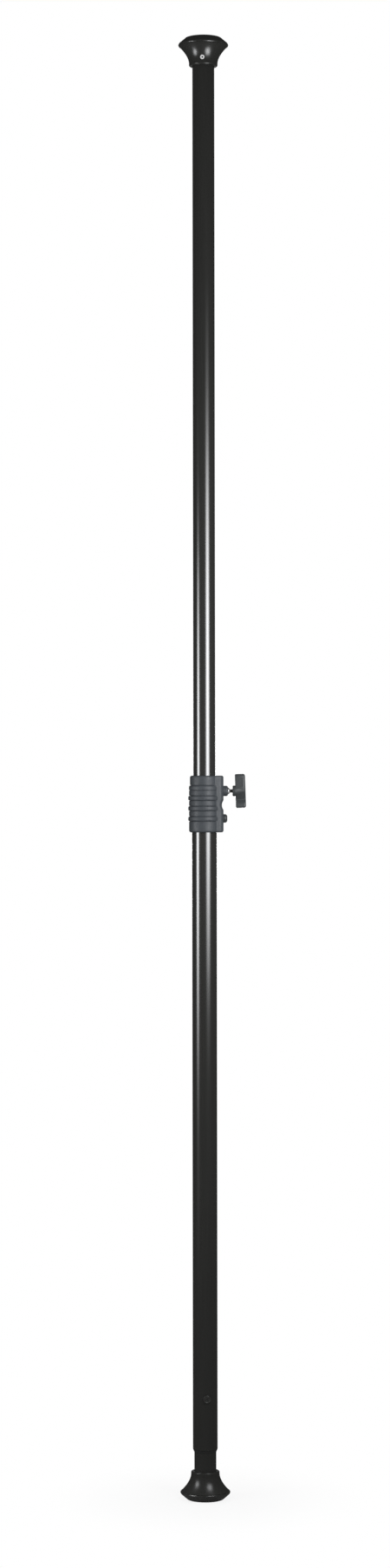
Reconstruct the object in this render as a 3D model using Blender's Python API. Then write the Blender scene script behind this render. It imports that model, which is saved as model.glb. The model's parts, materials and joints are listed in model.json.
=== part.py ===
"""A telescopic floor-to-ceiling pole for lights: two tubes, a clamping collar and a sprung foot.

Metres, +Z up, +X towards the knob, and the front faces -Y. The origin is the centre of the floor pad's flat
face. Heights named H are measured from a pad's face into the pole, and heights named C from the collar's
underside.
"""

import math

import bmesh
import bpy
from mathutils import Vector

# Whole pole
REST_LENGTH = 2.658        # from pad face to pad face
COLLAR_Z = 1.213           # underside of the collar
GAP = 0.0003               # between pieces that touch
RUNNING_GAP = 0.00025      # round what slides

# Tubes
UPPER_OD = 0.040
UPPER_WALL = 0.0015
SLIDE_ROOM = 0.001         # between the two tubes, on the radius
LOWER_WALL = 0.0015
TUBE_SIDES = 36
KNOB_SIDES = 32            # of the knob, the button and what is round them
ARC_STEPS = 6              # of a half circle in an outline
CORNER_MID = 1 - math.cos(math.pi / 4)  # a rounded corner's middle, as a share of its radius

UPPER_R = UPPER_OD / 2
UPPER_BORE_R = UPPER_R - UPPER_WALL
LOWER_BORE_R = UPPER_R + SLIDE_ROOM
LOWER_R = LOWER_BORE_R + LOWER_WALL
PLUG_R = UPPER_BORE_R - GAP

# Cups and their rubber boots, the same at both ends
PAD_FACE_R = 0.033
PAD_BEVEL_H = 0.0096
RIM_H = 0.0125
RIM_ROUND = 0.0015         # how far the boot's edges lie inside its rim
BOOT_WALL = 0.004
BOOT_FLOOR = 0.0087
BOOT_H = 0.016
BOOT_CORNER = 0.003        # chamfer between its wall and its floor
SNAP_BEAD = 0.0008         # ring on the cup that the boot snaps over
NECK_WALL = 0.0057
FLARE_WIDTH = 0.0174       # from the neck to the flare's edge, on the radius
FLARE_END_H = 0.046
FLARE_POWER = 1.8
FLARE_STEPS = 6
RIM_OVERHANG = 0.0024      # the boot's rim past the flare's edge
CUP_H = 0.051
NECK_ROUND = 0.0042
CAST_WALL = 0.0056         # of the hollow under the flare, along the radius
CUP_FLOOR = 0.008          # under the tube's end
CUP_SIDES = 32

NECK_R = UPPER_R + GAP + NECK_WALL
FLARE_R = NECK_R + FLARE_WIDTH
RIM_R = FLARE_R + RIM_OVERHANG
BOOT_BORE_R = RIM_R - BOOT_WALL
CUP_BASE_H = BOOT_FLOOR + GAP
SOCKET_H = CUP_BASE_H + CUP_FLOOR
TUBE_END_H = SOCKET_H + GAP

# Cup screws, washers and plugs
CUP_SCREW_R = 0.004
CUP_SCREW_LENGTH = 0.022
SCREW_HEAD_R = 0.0065
SCREW_HEAD_H = 0.0022
SCREW_HEAD_ROUND = 0.0012
DRIVE_R = 0.0027           # recess in each screw's head
DRIVE_DEPTH = 0.0013
WASHER_R = 0.0076
WASHER_T = 0.0009
COUNTERBORE_R = 0.008
COUNTERBORE_DEPTH = 0.004
PLUG_LENGTH = 0.0277
SCREW_SIDES = 16

PLUG_END_H = TUBE_END_H + PLUG_LENGTH

# Sprung foot
PLUNGE_TRAVEL = 0.028
STUB_SPARE = 0.012         # left between cup and lower tube with the foot pushed in
PLUNGER_LENGTH = 0.198
SLEEVE_LENGTH = 0.030
LIP_H = 0.004              # the sleeve's tapered lip under the lower tube's end
LIP_TIP_WALL = 0.0006      # at its thin end
LIP_INSET = 0.0002         # from the lower tube's surface to its thick end
GUIDE_SCREW_UP = 0.0938    # above the lower tube's end
GUIDE_SCREW_TURN = math.radians(8)
GUIDE_SCREW_R = 0.003
GUIDE_SCREW_IN = 0.0125    # from the lower tube's surface to its tip
GUIDE_HEAD_R = 0.0068
GUIDE_HEAD_H = 0.0032
STOP_LENGTH = 0.026
SPIGOT_R = 0.0115
SPIGOT_LENGTH = 0.007
SPRING_WIRE_R = 0.002
SPRING_TURNS = 12
SPRING_ROOM = 0.002        # between the coil and the plunger's bore
COIL_POINTS = 8            # in each turn of a spring

LOWER_END_Z = CUP_H + PLUNGE_TRAVEL + STUB_SPARE
GUIDE_SCREW_Z = LOWER_END_Z + GUIDE_SCREW_UP
GUIDE_TIP_R = LOWER_R - GUIDE_SCREW_IN
STOP_LOW_Z = GUIDE_SCREW_Z - STOP_LENGTH / 2
SPRING_MEAN_R = UPPER_BORE_R - SPRING_ROOM - SPRING_WIRE_R

# Collar
COLLAR_H = 0.1032
COLLAR_WALL = 0.0051
CUFF_STEP = 0.0016         # the end above the top rib is slimmer by this, on the radius
COLLAR_ROUND = 0.0035
RIB_COUNT = 4
FIRST_RIB_C = 0.0246
RIB_PITCH = 0.0188
RIB_WIDTH = 0.0080
RIB_RISE = 0.0015
CUFF_RIB_RISE = 0.0002     # of the top rib over the side under it
TUBE_SEAT = 0.051          # how deep the lower tube sits
BORE_ROOM = 0.0004         # round the upper tube
LUG_REACH = 0.0123         # from the lower tube to the lug's face
LUG_ROOT_X = 0.021         # where its flat sides start to slant
LUG_WIDTH = 0.0346         # at its root
LUG_SLANT = math.radians(11)
LUG_CORNER = 0.0088        # along its face
LUG_ROUND = 0.0025         # round its two ends
LUG_INSET = 0.0002         # its ends lie this far inside the collar's
SCALLOP_C = 0.0495
SCALLOP_DEPTH = 0.0029
SCALLOP_H = 0.0174
SCALLOP_SIDES = 48
BUSH_C = 0.087
BUSH_H = 0.0114
BUSH_WALL = 0.00275
BUSH_SPLIT = 0.002
SET_SCREW_C = 0.013
SET_SCREW_R = 0.0025
SET_DRIVE_R = 0.0014       # its recess
SET_SCREW_SINK = 0.0004    # its end lies this far under the collar's surface
COLLAR_SIDES = 40
LUG_STEPS = 4              # of each corner along its face

COLLAR_R = LOWER_R + GAP + COLLAR_WALL
COLLAR_BORE_R = UPPER_R + BORE_ROOM
CUFF_C = FIRST_RIB_C + (RIB_COUNT - 1) * RIB_PITCH
LUG_X = LOWER_R + LUG_REACH
SHOULDER_Z = COLLAR_Z + TUBE_SEAT + GAP

# Upper tube's lower end
EXTENSION_LEFT = 0.042     # travel up to the stop under the collar's shoulder
RING_H = 0.0114
RING_WALL = 0.00345
RING_SEAT_H = 0.012
GLIDE_FLANGE_H = 0.004
GLIDE_FLANGE_R = 0.0198
GLIDE_SPIGOT = 0.022
GLIDE_BORE_R = 0.012

UPPER_END_Z = SHOULDER_Z - EXTENSION_LEFT
RING_OUT_R = LOWER_BORE_R - RUNNING_GAP
RING_IN_R = RING_OUT_R - RING_WALL

# Clamp screw, shoe and knob
CLAMP_C = 0.0753
CLAMP_TRAVEL = 0.002
SHOE_THICK = 0.0041
SHOE_WIDTH = 0.0144
SHOE_H = 0.0144
SHOE_STEPS = 8             # of its curve
TIP_SOCKET = 0.0012
STUD_R = 0.003
STUD_NECK_R = 0.00325
BOSS_R = 0.0094
BOSS_LENGTH = 0.0088
BOSS_ROUND = 0.0036
INSERT_R = 0.0057
INSERT_BACK = 0.003        # behind the insert, up to the shoe's pocket
NOSE_R = 0.0063
NOSE_LENGTH = 0.0034
NOSE_END_R = 0.0038
STUD_SHOWN = 0.0041        # bare stud between nose and hub
HUB_R = 0.0097
HUB_LENGTH = 0.0062
HUB_ROUND = 0.002
KNOB_WIDTH = 0.0185        # of the bar, along the screw
KNOB_SPAN = 0.0615         # of the bar, from tip to tip
KNOB_DEPTH = 0.0166        # of the bar at its middle
KNOB_ROUND = 0.0022
STUD_IN_KNOB = 0.0145
BAR_SEAT = 0.001           # the bar starts this far inside the hub

CLAMP_Z = COLLAR_Z + CLAMP_C
SHOE_BACK_X = UPPER_R + GAP + SHOE_THICK
POCKET_X = SHOE_BACK_X + CLAMP_TRAVEL + 2 * GAP
STUD_TIP_X = SHOE_BACK_X - TIP_SOCKET + GAP
INSERT_X = POCKET_X + INSERT_BACK
BOSS_X = LUG_X + BOSS_LENGTH
NOSE_X = BOSS_X + GAP + NOSE_LENGTH
HUB_X = NOSE_X + STUD_SHOWN
BAR_X = HUB_X + HUB_LENGTH - BAR_SEAT

# One upper wing of the bar from its front root over the tip to its rear root, as shares of half the bar's
# depth and half its span. The lower wing is the same wing turned half round.
WING = (
    (-1.00, 0.00),
    (-1.02, 0.30),
    (-0.98, 0.62),
    (-0.88, 0.88),
    (-0.66, 0.98),
    (-0.30, 1.00),
    (0.30, 1.00),
    (0.62, 0.96),
    (0.74, 0.86),
    (0.62, 0.68),
    (0.46, 0.52),
    (0.44, 0.38),
    (0.66, 0.22),
    (0.90, 0.10),
)

# Release button, lock lever and its pin and spring
BUTTON_C = 0.02525
BUTTON_R = 0.0078
BUTTON_PROUD = 0.005       # left standing when it is pushed in
BUTTON_TRAVEL = 0.002
BUTTON_ROUND = 0.0044
BUTTON_TIP_R = 0.003
BUTTON_DOME_R = 0.0015     # of the tip's flat end
BUTTON_DOME_H = 0.0006
EAR_T = 0.0008
EAR_REACH = 0.0013
EAR_H = 0.005
PIVOT_C = 0.043
PIVOT_OUT = 0.0047         # from the lower tube to the pivot
PIVOT_BOSS_R = 0.003
PIN_R = 0.0015
PIN_INSET = 0.0006         # the pin's rear end under the lug's side
PIN_BLIND = 0.005          # of the lug's front side left over the pin
LEVER_WIDTH = 0.010
LEVER_ROOM = 0.0013        # beside the lever
LOWER_ARM_IN = 0.0012      # the lower arm's inner face, inside the pivot
LOWER_ARM_OUT = 0.0010
UPPER_ARM_IN = 0.0027
UPPER_ARM_OUT = 0.0002     # the upper arm's outer face, inside the pivot
PIVOT_ARC_STEPS = 8        # round the lever's outer side, and half as many round its inner side
ARM_END_C = 0.0225
JAW_LOW_C = 0.054
JAW_TOP_C = 0.063
CAVITY_OVER = 0.0016       # over the jaw
LOCK_SPRING_C = 0.0602
LOCK_SPRING_R = 0.002
LOCK_WIRE_R = 0.0003
LOCK_SPRING_TURNS = 4
LOCK_POCKET_ROOM = 0.0006
LOCK_POCKET_WALL = 0.002   # of the lug left behind the spring

PIVOT_X = LOWER_R + PIVOT_OUT
CAVITY_X = PIVOT_X + PIVOT_BOSS_R + GAP
BUTTON_FACE_X = LUG_X + BUTTON_PROUD + BUTTON_TRAVEL
BUTTON_BACK_X = CAVITY_X - GAP - EAR_T
BUTTON_TIP_X = PIVOT_X + LOWER_ARM_OUT + GAP
LOCK_SEAT_X = LUG_X - LOCK_POCKET_WALL
CUT_START_X = UPPER_R - 0.003  # cuts into the lug start inside the bore

ALONG_X = (0, math.pi / 2, 0)  # turns a piece's own +Z to +X
ALONG_Y = (math.pi / 2, 0, 0)  # turns it to -Y
MANY_CUTS = 4                  # past this many steps the exact solver leaves holes in the collar


def srgb(red, green, blue):
    """A colour of 0 to 255 values as Blender's linear colour."""
    def linear(value):
        share = value / 255
        return share / 12.92 if share <= 0.04045 else ((share + 0.055) / 1.055) ** 2.4
    return (linear(red), linear(green), linear(blue), 1)


def finish(name, colour, roughness, metallic):
    made = bpy.data.materials.new(name)
    made.use_nodes = True
    shader = made.node_tree.nodes["Principled BSDF"]
    shader.inputs["Base Color"].default_value = colour
    shader.inputs["Roughness"].default_value = roughness
    shader.inputs["Metallic"].default_value = metallic
    return made


def carrier(name, place, parent=None):
    """An empty on a moving body's axis."""
    empty = bpy.data.objects.new(name, None)
    bpy.context.collection.objects.link(empty)
    empty.parent = parent
    empty.location = Vector(place) - world_place(parent)
    return empty


def world_place(holder):
    total = Vector((0, 0, 0))
    while holder:
        total += holder.location
        holder = holder.parent
    return total


def add(name, data, look, body, place=(0, 0, 0), turn=(0, 0, 0)):
    """Places a mesh or curve in the world and hangs it on its body."""
    piece = bpy.data.objects.new(name, data)
    bpy.context.collection.objects.link(piece)
    if look:
        data.materials.append(look)
    piece.parent = body
    piece.location = Vector(place) - world_place(body)
    piece.rotation_euler = turn
    return piece


def combine(target, operation, data, place=(0, 0, 0), turn=(0, 0, 0)):
    """Joins a hidden shape to the target, or cuts it away."""
    name = f"{target.name}_{operation.lower()}_{len(target.modifiers)}"
    tool = add(name, data, None, target.parent, place, turn)
    tool.hide_render = True
    tool.display_type = "WIRE"
    step = target.modifiers.new(tool.name, "BOOLEAN")
    step.operation = operation
    step.object = tool
    if len(target.modifiers) > MANY_CUTS:
        step.solver = "MANIFOLD"


def cut(target, data, place=(0, 0, 0), turn=(0, 0, 0)):
    combine(target, "DIFFERENCE", data, place, turn)


def join(target, data, place=(0, 0, 0), turn=(0, 0, 0)):
    combine(target, "UNION", data, place, turn)


def mesh_from(bm, name):
    bmesh.ops.remove_doubles(bm, verts=bm.verts, dist=1e-6)
    bmesh.ops.recalc_face_normals(bm, faces=bm.faces)
    mesh = bpy.data.meshes.new(name)
    bm.to_mesh(mesh)
    bm.free()
    mesh.shade_smooth()
    mesh.set_sharp_from_angle(angle=math.radians(35))
    return mesh


def turned(name, profile, sides):
    """A solid of revolution about Z. The profile's (radius, height) points form a closed loop."""
    bm = bmesh.new()
    verts = [bm.verts.new((radius, 0, height)) for radius, height in profile]
    ends_on_axis = profile[0][0] == 0 and profile[-1][0] == 0
    pairs = zip(verts, verts[1:] + ([] if ends_on_axis else verts[:1]))
    edges = [bm.edges.new(pair) for pair in pairs]
    bmesh.ops.spin(bm, geom=verts + edges, cent=(0, 0, 0), axis=(0, 0, 1), dvec=(0, 0, 0),
                   angle=2 * math.pi, steps=sides, use_merge=True)
    return mesh_from(bm, name)


def rod(name, radius, low, high, sides=SCREW_SIDES):
    return turned(name, [(0, low), (radius, low), (radius, high), (0, high)], sides)


def pipe(name, inner, outer, low, high, sides=TUBE_SIDES):
    return turned(name, [(inner, low), (outer, low), (outer, high), (inner, high)], sides)


def block(name, size):
    """A box of the given size about its own centre."""
    bm = bmesh.new()
    bmesh.ops.create_cube(bm, size=1)
    bmesh.ops.scale(bm, vec=size, verts=bm.verts)
    return mesh_from(bm, name)


def cut_box(target, low, high):
    low, high = Vector(low), Vector(high)
    cut(target, block(f"{target.name}_box", high - low), place=(low + high) / 2)


def extruded(name, outline, depth, to_space, round_edge=0):
    """A prism centred on its outline's plane. to_space(a, b, depth) gives a point's place."""
    bm = bmesh.new()
    verts = [bm.verts.new(to_space(a, b, -depth / 2)) for a, b in outline]
    bottom = bm.faces.new(verts)
    made = bmesh.ops.extrude_face_region(bm, geom=[bottom])["geom"]
    top_verts = [item for item in made if isinstance(item, bmesh.types.BMVert)]
    shift = Vector(to_space(0, 0, depth)) - Vector(to_space(0, 0, 0))
    bmesh.ops.translate(bm, vec=shift, verts=top_verts)
    if round_edge:
        caps = [face for face in bm.faces if len(face.verts) == len(outline)]
        rims = {edge for face in caps for edge in face.edges}
        bmesh.ops.bevel(bm, geom=list(rims), offset=round_edge, segments=2, profile=0.5, affect="EDGES")
    return mesh_from(bm, name)


def coil(name, mean_r, wire_r, low, high, turns, resolution):
    """A spring about Z whose wire fills the height from low to high."""
    curve = bpy.data.curves.new(name, "CURVE")
    curve.dimensions = "3D"
    curve.bevel_depth = wire_r
    curve.bevel_resolution = resolution
    curve.use_fill_caps = True
    count = turns * COIL_POINTS + 1
    line = curve.splines.new("POLY")
    line.points.add(count - 1)
    for index, point in enumerate(line.points):
        angle = 2 * math.pi * index / COIL_POINTS
        height = low + wire_r + (high - low - 2 * wire_r) * index / (count - 1)
        point.co = (mean_r * math.cos(angle), mean_r * math.sin(angle), height, 1)
    return curve


def flare_r(height):
    """The cup's outer radius between its rim and its neck."""
    share = (FLARE_END_H - height) / (FLARE_END_H - BOOT_H - GAP)
    return NECK_R + FLARE_WIDTH * max(0, share) ** FLARE_POWER


def snap_ring(radius, middle):
    """Three points of the bead and of the groove that takes it."""
    return [(radius, middle - SNAP_BEAD), (radius + SNAP_BEAD, middle), (radius, middle + SNAP_BEAD)]


def pad_profile():
    return [
        (0, 0),
        (PAD_FACE_R, 0),
        (RIM_R - RIM_ROUND, PAD_BEVEL_H),
        (RIM_R - RIM_ROUND / 4, PAD_BEVEL_H + RIM_ROUND),
        (RIM_R, RIM_H),
        (RIM_R - RIM_ROUND / 4, BOOT_H - RIM_ROUND),
        (RIM_R - RIM_ROUND, BOOT_H),
        (BOOT_BORE_R, BOOT_H),
        *reversed(snap_ring(BOOT_BORE_R, RIM_H + SNAP_BEAD)),
        (BOOT_BORE_R, BOOT_FLOOR + BOOT_CORNER),
        (BOOT_BORE_R - BOOT_CORNER, BOOT_FLOOR),
        (0, BOOT_FLOOR),
    ]


def cup_profile():
    neck_soft = NECK_ROUND * CORNER_MID
    skirt_r = BOOT_BORE_R - GAP
    flare_low = BOOT_H + GAP
    flare = [flare_low + (FLARE_END_H - flare_low) * step / FLARE_STEPS for step in range(FLARE_STEPS + 1)]
    hollow = [CUP_BASE_H, flare_low - GAP, (flare_low + FLARE_END_H) / 2 - CAST_WALL]
    socket_wall_r = UPPER_R + GAP + CAST_WALL / 2
    return [
        (CUP_SCREW_R + GAP, CUP_BASE_H + COUNTERBORE_DEPTH),
        (COUNTERBORE_R, CUP_BASE_H + COUNTERBORE_DEPTH),
        (COUNTERBORE_R, CUP_BASE_H),
        (socket_wall_r, CUP_BASE_H),
        (socket_wall_r, hollow[2] + CAST_WALL / 2),
        *[(flare_r(height) - CAST_WALL, height) for height in reversed(hollow[1:])],
        (flare_r(hollow[1]) - CAST_WALL, hollow[0]),
        (skirt_r - BOOT_CORNER, CUP_BASE_H),
        (skirt_r, CUP_BASE_H + BOOT_CORNER),
        *snap_ring(skirt_r, RIM_H + SNAP_BEAD),
        (skirt_r, flare_low),
        *[(flare_r(height), height) for height in flare],
        (NECK_R, CUP_H - NECK_ROUND),
        (NECK_R - neck_soft, CUP_H - neck_soft),
        (NECK_R - NECK_ROUND, CUP_H),
        (UPPER_R + GAP, CUP_H),
        (UPPER_R + GAP, SOCKET_H),
        (CUP_SCREW_R + GAP, SOCKET_H),
    ]


def screw_profile():
    """A cup screw whose head lies in the counterbore under its washer."""
    seat_h = CUP_BASE_H + COUNTERBORE_DEPTH - WASHER_T - 2 * GAP
    head_h = seat_h - SCREW_HEAD_H
    return [
        (0, head_h + DRIVE_DEPTH),
        (DRIVE_R, head_h + DRIVE_DEPTH),
        (DRIVE_R, head_h),
        (SCREW_HEAD_R - SCREW_HEAD_ROUND, head_h),
        (SCREW_HEAD_R, head_h + SCREW_HEAD_ROUND),
        (SCREW_HEAD_R, seat_h),
        (CUP_SCREW_R, seat_h),
        (CUP_SCREW_R, seat_h + CUP_SCREW_LENGTH),
        (0, seat_h + CUP_SCREW_LENGTH),
    ]


def plug_profile(with_spigot):
    bore_r = CUP_SCREW_R + GAP
    bore_end = CUP_BASE_H + COUNTERBORE_DEPTH + CUP_SCREW_LENGTH
    spigot = [(SPIGOT_R, PLUG_END_H), (SPIGOT_R, PLUG_END_H + SPIGOT_LENGTH), (0, PLUG_END_H + SPIGOT_LENGTH)]
    return [
        (0, bore_end),
        (bore_r, bore_end),
        (bore_r, TUBE_END_H),
        (PLUG_R, TUBE_END_H),
        (PLUG_R, PLUG_END_H),
        *(spigot if with_spigot else [(0, PLUG_END_H)]),
    ]


def end_fitting(pad, cup, plug, washer, screw, looks, body, flip=False, with_spigot=False):
    """Cup, boot, plug, washer and screw at one end of the pole. flip puts them at the ceiling."""
    place = (0, 0, REST_LENGTH if flip else 0)
    turn = (math.pi if flip else 0, 0, 0)
    washer_h = CUP_BASE_H + COUNTERBORE_DEPTH - GAP - WASHER_T
    add(pad, turned(pad, pad_profile(), CUP_SIDES), looks["rubber"], body, place, turn)
    add(cup, turned(cup, cup_profile(), CUP_SIDES), looks["gloss"], body, place, turn)
    add(plug, turned(plug, plug_profile(with_spigot), TUBE_SIDES), looks["nylon"], body, place, turn)
    washer_mesh = pipe(washer, CUP_SCREW_R + GAP, WASHER_R, washer_h, washer_h + WASHER_T, SCREW_SIDES)
    add(washer, washer_mesh, looks["steel"], body, place, turn)
    add(screw, turned(screw, screw_profile(), SCREW_SIDES), looks["steel"], body, place, turn)


def foot_plunger(looks, body):
    """The stub tube, with the slot that runs along the guide screw."""
    tube = pipe("foot_plunger", UPPER_BORE_R, UPPER_R, TUBE_END_H, TUBE_END_H + PLUNGER_LENGTH)
    plunger = add("foot_plunger", tube, looks["gloss"], body)
    slot_half = GUIDE_SCREW_R + GAP
    turn = (math.pi / 2, 0, GUIDE_SCREW_TURN)
    outline = []
    for centre, start in ((0, 0), (-PLUNGE_TRAVEL, math.pi)):
        for step in range(ARC_STEPS + 1):
            angle = start + math.pi * step / ARC_STEPS
            outline.append((slot_half * math.cos(angle), centre + slot_half * math.sin(angle)))
    slot = extruded("foot_plunger_slot", outline, UPPER_OD, lambda a, b, d: (a, b, d + UPPER_OD / 2))
    cut(plunger, slot, (0, 0, GUIDE_SCREW_Z), turn)


def spring_stop(looks, body):
    """The plug that the guide screw holds still inside the plunger."""
    top_z = STOP_LOW_Z + STOP_LENGTH
    profile = [
        (0, STOP_LOW_Z - SPIGOT_LENGTH),
        (SPIGOT_R, STOP_LOW_Z - SPIGOT_LENGTH),
        (SPIGOT_R, STOP_LOW_Z),
        (PLUG_R, STOP_LOW_Z),
        (PLUG_R, top_z),
        (0, top_z),
    ]
    stop = add("spring_stop", turned("spring_stop", profile, TUBE_SIDES), looks["nylon"], body)
    hole = rod("spring_stop_hole", GUIDE_SCREW_R + GAP, GUIDE_TIP_R - GAP, UPPER_R)
    cut(stop, hole, (0, 0, GUIDE_SCREW_Z), (math.pi / 2, 0, GUIDE_SCREW_TURN))


def guide_screw(looks, body):
    """A round-head screw through the lower tube into the spring stop."""
    seat = LOWER_R + GAP
    top = seat + GUIDE_HEAD_H
    slopes = [math.radians(30 * step) for step in range(3)]
    profile = [
        (0, GUIDE_TIP_R),
        (GUIDE_SCREW_R, GUIDE_TIP_R),
        (GUIDE_SCREW_R, seat),
        *[(GUIDE_HEAD_R * math.cos(slope), seat + GUIDE_HEAD_H * math.sin(slope)) for slope in slopes],
        (DRIVE_R, top),
        (DRIVE_R, top - DRIVE_DEPTH),
        (0, top - DRIVE_DEPTH),
    ]
    mesh = turned("guide_screw", profile, SCREW_SIDES)
    turn = (math.pi / 2, 0, GUIDE_SCREW_TURN)
    add("guide_screw", mesh, looks["black"], body, (0, 0, GUIDE_SCREW_Z), turn)


def lower_tube(looks, body):
    tube = pipe("lower_tube", LOWER_BORE_R, LOWER_R, LOWER_END_Z, COLLAR_Z + TUBE_SEAT)
    made = add("lower_tube", tube, looks["gloss"], body)
    hole = rod("lower_tube_hole", GUIDE_SCREW_R + GAP, UPPER_R, LOWER_R + GUIDE_HEAD_H)
    cut(made, hole, (0, 0, GUIDE_SCREW_Z), (math.pi / 2, 0, GUIDE_SCREW_TURN))


def collar_body_r(height):
    return COLLAR_R - (CUFF_STEP if height > CUFF_C else 0)


def rib_points(middle):
    crest_r = COLLAR_R + (CUFF_RIB_RISE if middle == CUFF_C else RIB_RISE)
    points = []
    for along, rise in ((-0.5, 0), (-0.42, 0.62), (-0.2, 1), (0.2, 1), (0.42, 0.62), (0.5, 0)):
        height = middle + along * RIB_WIDTH
        foot_r = collar_body_r(height)
        points.append((foot_r + rise * (crest_r - foot_r), height))
    return points


def collar_outline():
    """Half the collar's outer outline, closed along its axis."""
    top_r = collar_body_r(COLLAR_H)
    soft = COLLAR_ROUND * CORNER_MID
    ribs = [point for rib in range(RIB_COUNT) for point in rib_points(FIRST_RIB_C + rib * RIB_PITCH)]
    return [
        (0, 0),
        (COLLAR_R - COLLAR_ROUND, 0),
        (COLLAR_R - soft, soft),
        (COLLAR_R, COLLAR_ROUND),
        *ribs,
        (top_r, COLLAR_H - COLLAR_ROUND),
        (top_r - soft, COLLAR_H - soft),
        (top_r - COLLAR_ROUND, COLLAR_H),
        (0, COLLAR_H),
    ]


def collar_core():
    """What the bore leaves open: the lower tube's seat, the upper tube's way and the bush's groove."""
    over = COLLAR_ROUND
    bush_r = UPPER_R + RUNNING_GAP + BUSH_WALL + GAP
    seat_r = LOWER_R + GAP
    return [
        (0, -over),
        (seat_r, -over),
        (seat_r, TUBE_SEAT + GAP),
        (COLLAR_BORE_R, TUBE_SEAT + GAP),
        (COLLAR_BORE_R, BUSH_C - GAP),
        (bush_r, BUSH_C - GAP),
        (bush_r, BUSH_C + BUSH_H + GAP),
        (COLLAR_BORE_R, BUSH_C + BUSH_H + GAP),
        (COLLAR_BORE_R, COLLAR_H + over),
        (0, COLLAR_H + over),
    ]


def lug_half(x):
    """Half the lug's width at that distance from the axis."""
    return LUG_WIDTH / 2 - (x - LUG_ROOT_X) * math.tan(LUG_SLANT)


def lug_mesh():
    """A block with slanting sides. Its inner end lies in the bore, which is cut afterwards."""
    middle_x = LUG_X - LUG_CORNER
    middle_y = lug_half(middle_x) - LUG_CORNER / math.cos(LUG_SLANT)
    side = [(UPPER_R / 2, LUG_WIDTH / 2), (LUG_ROOT_X, LUG_WIDTH / 2)]
    for step in range(LUG_STEPS + 1):
        angle = (math.pi / 2 - LUG_SLANT) * (1 - step / LUG_STEPS)
        side.append((middle_x + LUG_CORNER * math.cos(angle), middle_y + LUG_CORNER * math.sin(angle)))
    outline = side + [(x, -y) for x, y in reversed(side)]
    return extruded("lug", outline, COLLAR_H - 2 * LUG_INSET, lambda a, b, d: (a, b, COLLAR_H / 2 + d), LUG_ROUND)


def boss_mesh():
    start = LUG_X - LUG_ROUND
    soft = BOSS_ROUND * CORNER_MID
    profile = [
        (0, start),
        (BOSS_R, start),
        (BOSS_R, BOSS_X - BOSS_ROUND),
        (BOSS_R - soft, BOSS_X - soft),
        (BOSS_R - BOSS_ROUND, BOSS_X),
        (0, BOSS_X),
    ]
    return turned("boss", profile, KNOB_SIDES)


def collar_housing(looks, body):
    base = (0, 0, COLLAR_Z)
    collar = add("collar_housing", turned("collar_housing", collar_outline(), COLLAR_SIDES),
                 looks["collar"], body, base)
    join(collar, lug_mesh(), base)
    join(collar, boss_mesh(), (0, 0, CLAMP_Z), ALONG_X)
    cut_lever_room(collar)
    cut_clamp_room(collar)
    cut(collar, turned("collar_core", collar_core(), COLLAR_SIDES), base)
    scallop_r = ((SCALLOP_H / 2) ** 2 + SCALLOP_DEPTH ** 2) / (2 * SCALLOP_DEPTH)
    scallop = rod("scallop", scallop_r, -LUG_WIDTH, LUG_WIDTH, SCALLOP_SIDES)
    cut(collar, scallop, (LUG_X - SCALLOP_DEPTH + scallop_r, 0, COLLAR_Z + SCALLOP_C), ALONG_Y)
    set_hole = rod("set_screw_hole", SET_SCREW_R + GAP, LOWER_R - LOWER_WALL, COLLAR_R + COLLAR_ROUND)
    cut(collar, set_hole, (0, 0, COLLAR_Z + SET_SCREW_C), (math.pi / 2, 0, math.pi))


def cut_lever_room(collar):
    """Room in the lug for the lever, the button's inner end, the pin and the lever's spring."""
    half = LEVER_WIDTH / 2 + LEVER_ROOM
    ear_half = BUTTON_R + EAR_REACH + GAP
    button_half = BUTTON_R + 2 * GAP
    button_z = COLLAR_Z + BUTTON_C
    cut_box(collar, (CUT_START_X, -half, COLLAR_Z + ARM_END_C - LEVER_ROOM),
            (CAVITY_X, half, COLLAR_Z + JAW_TOP_C + CAVITY_OVER))
    cut_box(collar, (CUT_START_X, -ear_half, button_z - button_half),
            (CAVITY_X, ear_half, button_z + button_half))
    button_hole = rod("button_hole", BUTTON_R + GAP, CUT_START_X, BUTTON_FACE_X, KNOB_SIDES)
    cut(collar, button_hole, (0, 0, button_z), ALONG_X)
    pin_hole = rod("pin_hole", PIN_R + GAP, -LUG_WIDTH, lug_half(PIVOT_X) - PIN_BLIND + GAP)
    cut(collar, pin_hole, (PIVOT_X, 0, COLLAR_Z + PIVOT_C), ALONG_Y)
    pocket_r = LOCK_SPRING_R + LOCK_WIRE_R + LOCK_POCKET_ROOM
    spring_pocket = rod("spring_pocket", pocket_r, CUT_START_X, LOCK_SEAT_X)
    cut(collar, spring_pocket, (0, 0, COLLAR_Z + LOCK_SPRING_C), ALONG_X)


def cut_clamp_room(collar):
    """The shoe's pocket and the threaded insert's hole."""
    half_width = SHOE_WIDTH / 2 + GAP
    half_height = SHOE_H / 2 + GAP
    cut_box(collar, (CUT_START_X, -half_width, CLAMP_Z - half_height),
            (POCKET_X, half_width, CLAMP_Z + half_height))
    insert_hole = rod("insert_hole", INSERT_R + GAP, CUT_START_X, BOSS_X + BOSS_LENGTH, KNOB_SIDES)
    cut(collar, insert_hole, (0, 0, CLAMP_Z), ALONG_X)


def collar_bush(looks, body):
    """A split nylon ring that guides the upper tube."""
    inner = UPPER_R + RUNNING_GAP
    ring = pipe("collar_bush", inner, inner + BUSH_WALL, COLLAR_Z + BUSH_C, COLLAR_Z + BUSH_C + BUSH_H)
    bush = add("collar_bush", ring, looks["nylon"], body)
    split = block("bush_split", (BUSH_SPLIT, UPPER_R, 2 * BUSH_H))
    cut(bush, split, (0, inner + BUSH_WALL / 2, COLLAR_Z + BUSH_C + BUSH_H / 2))


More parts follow.
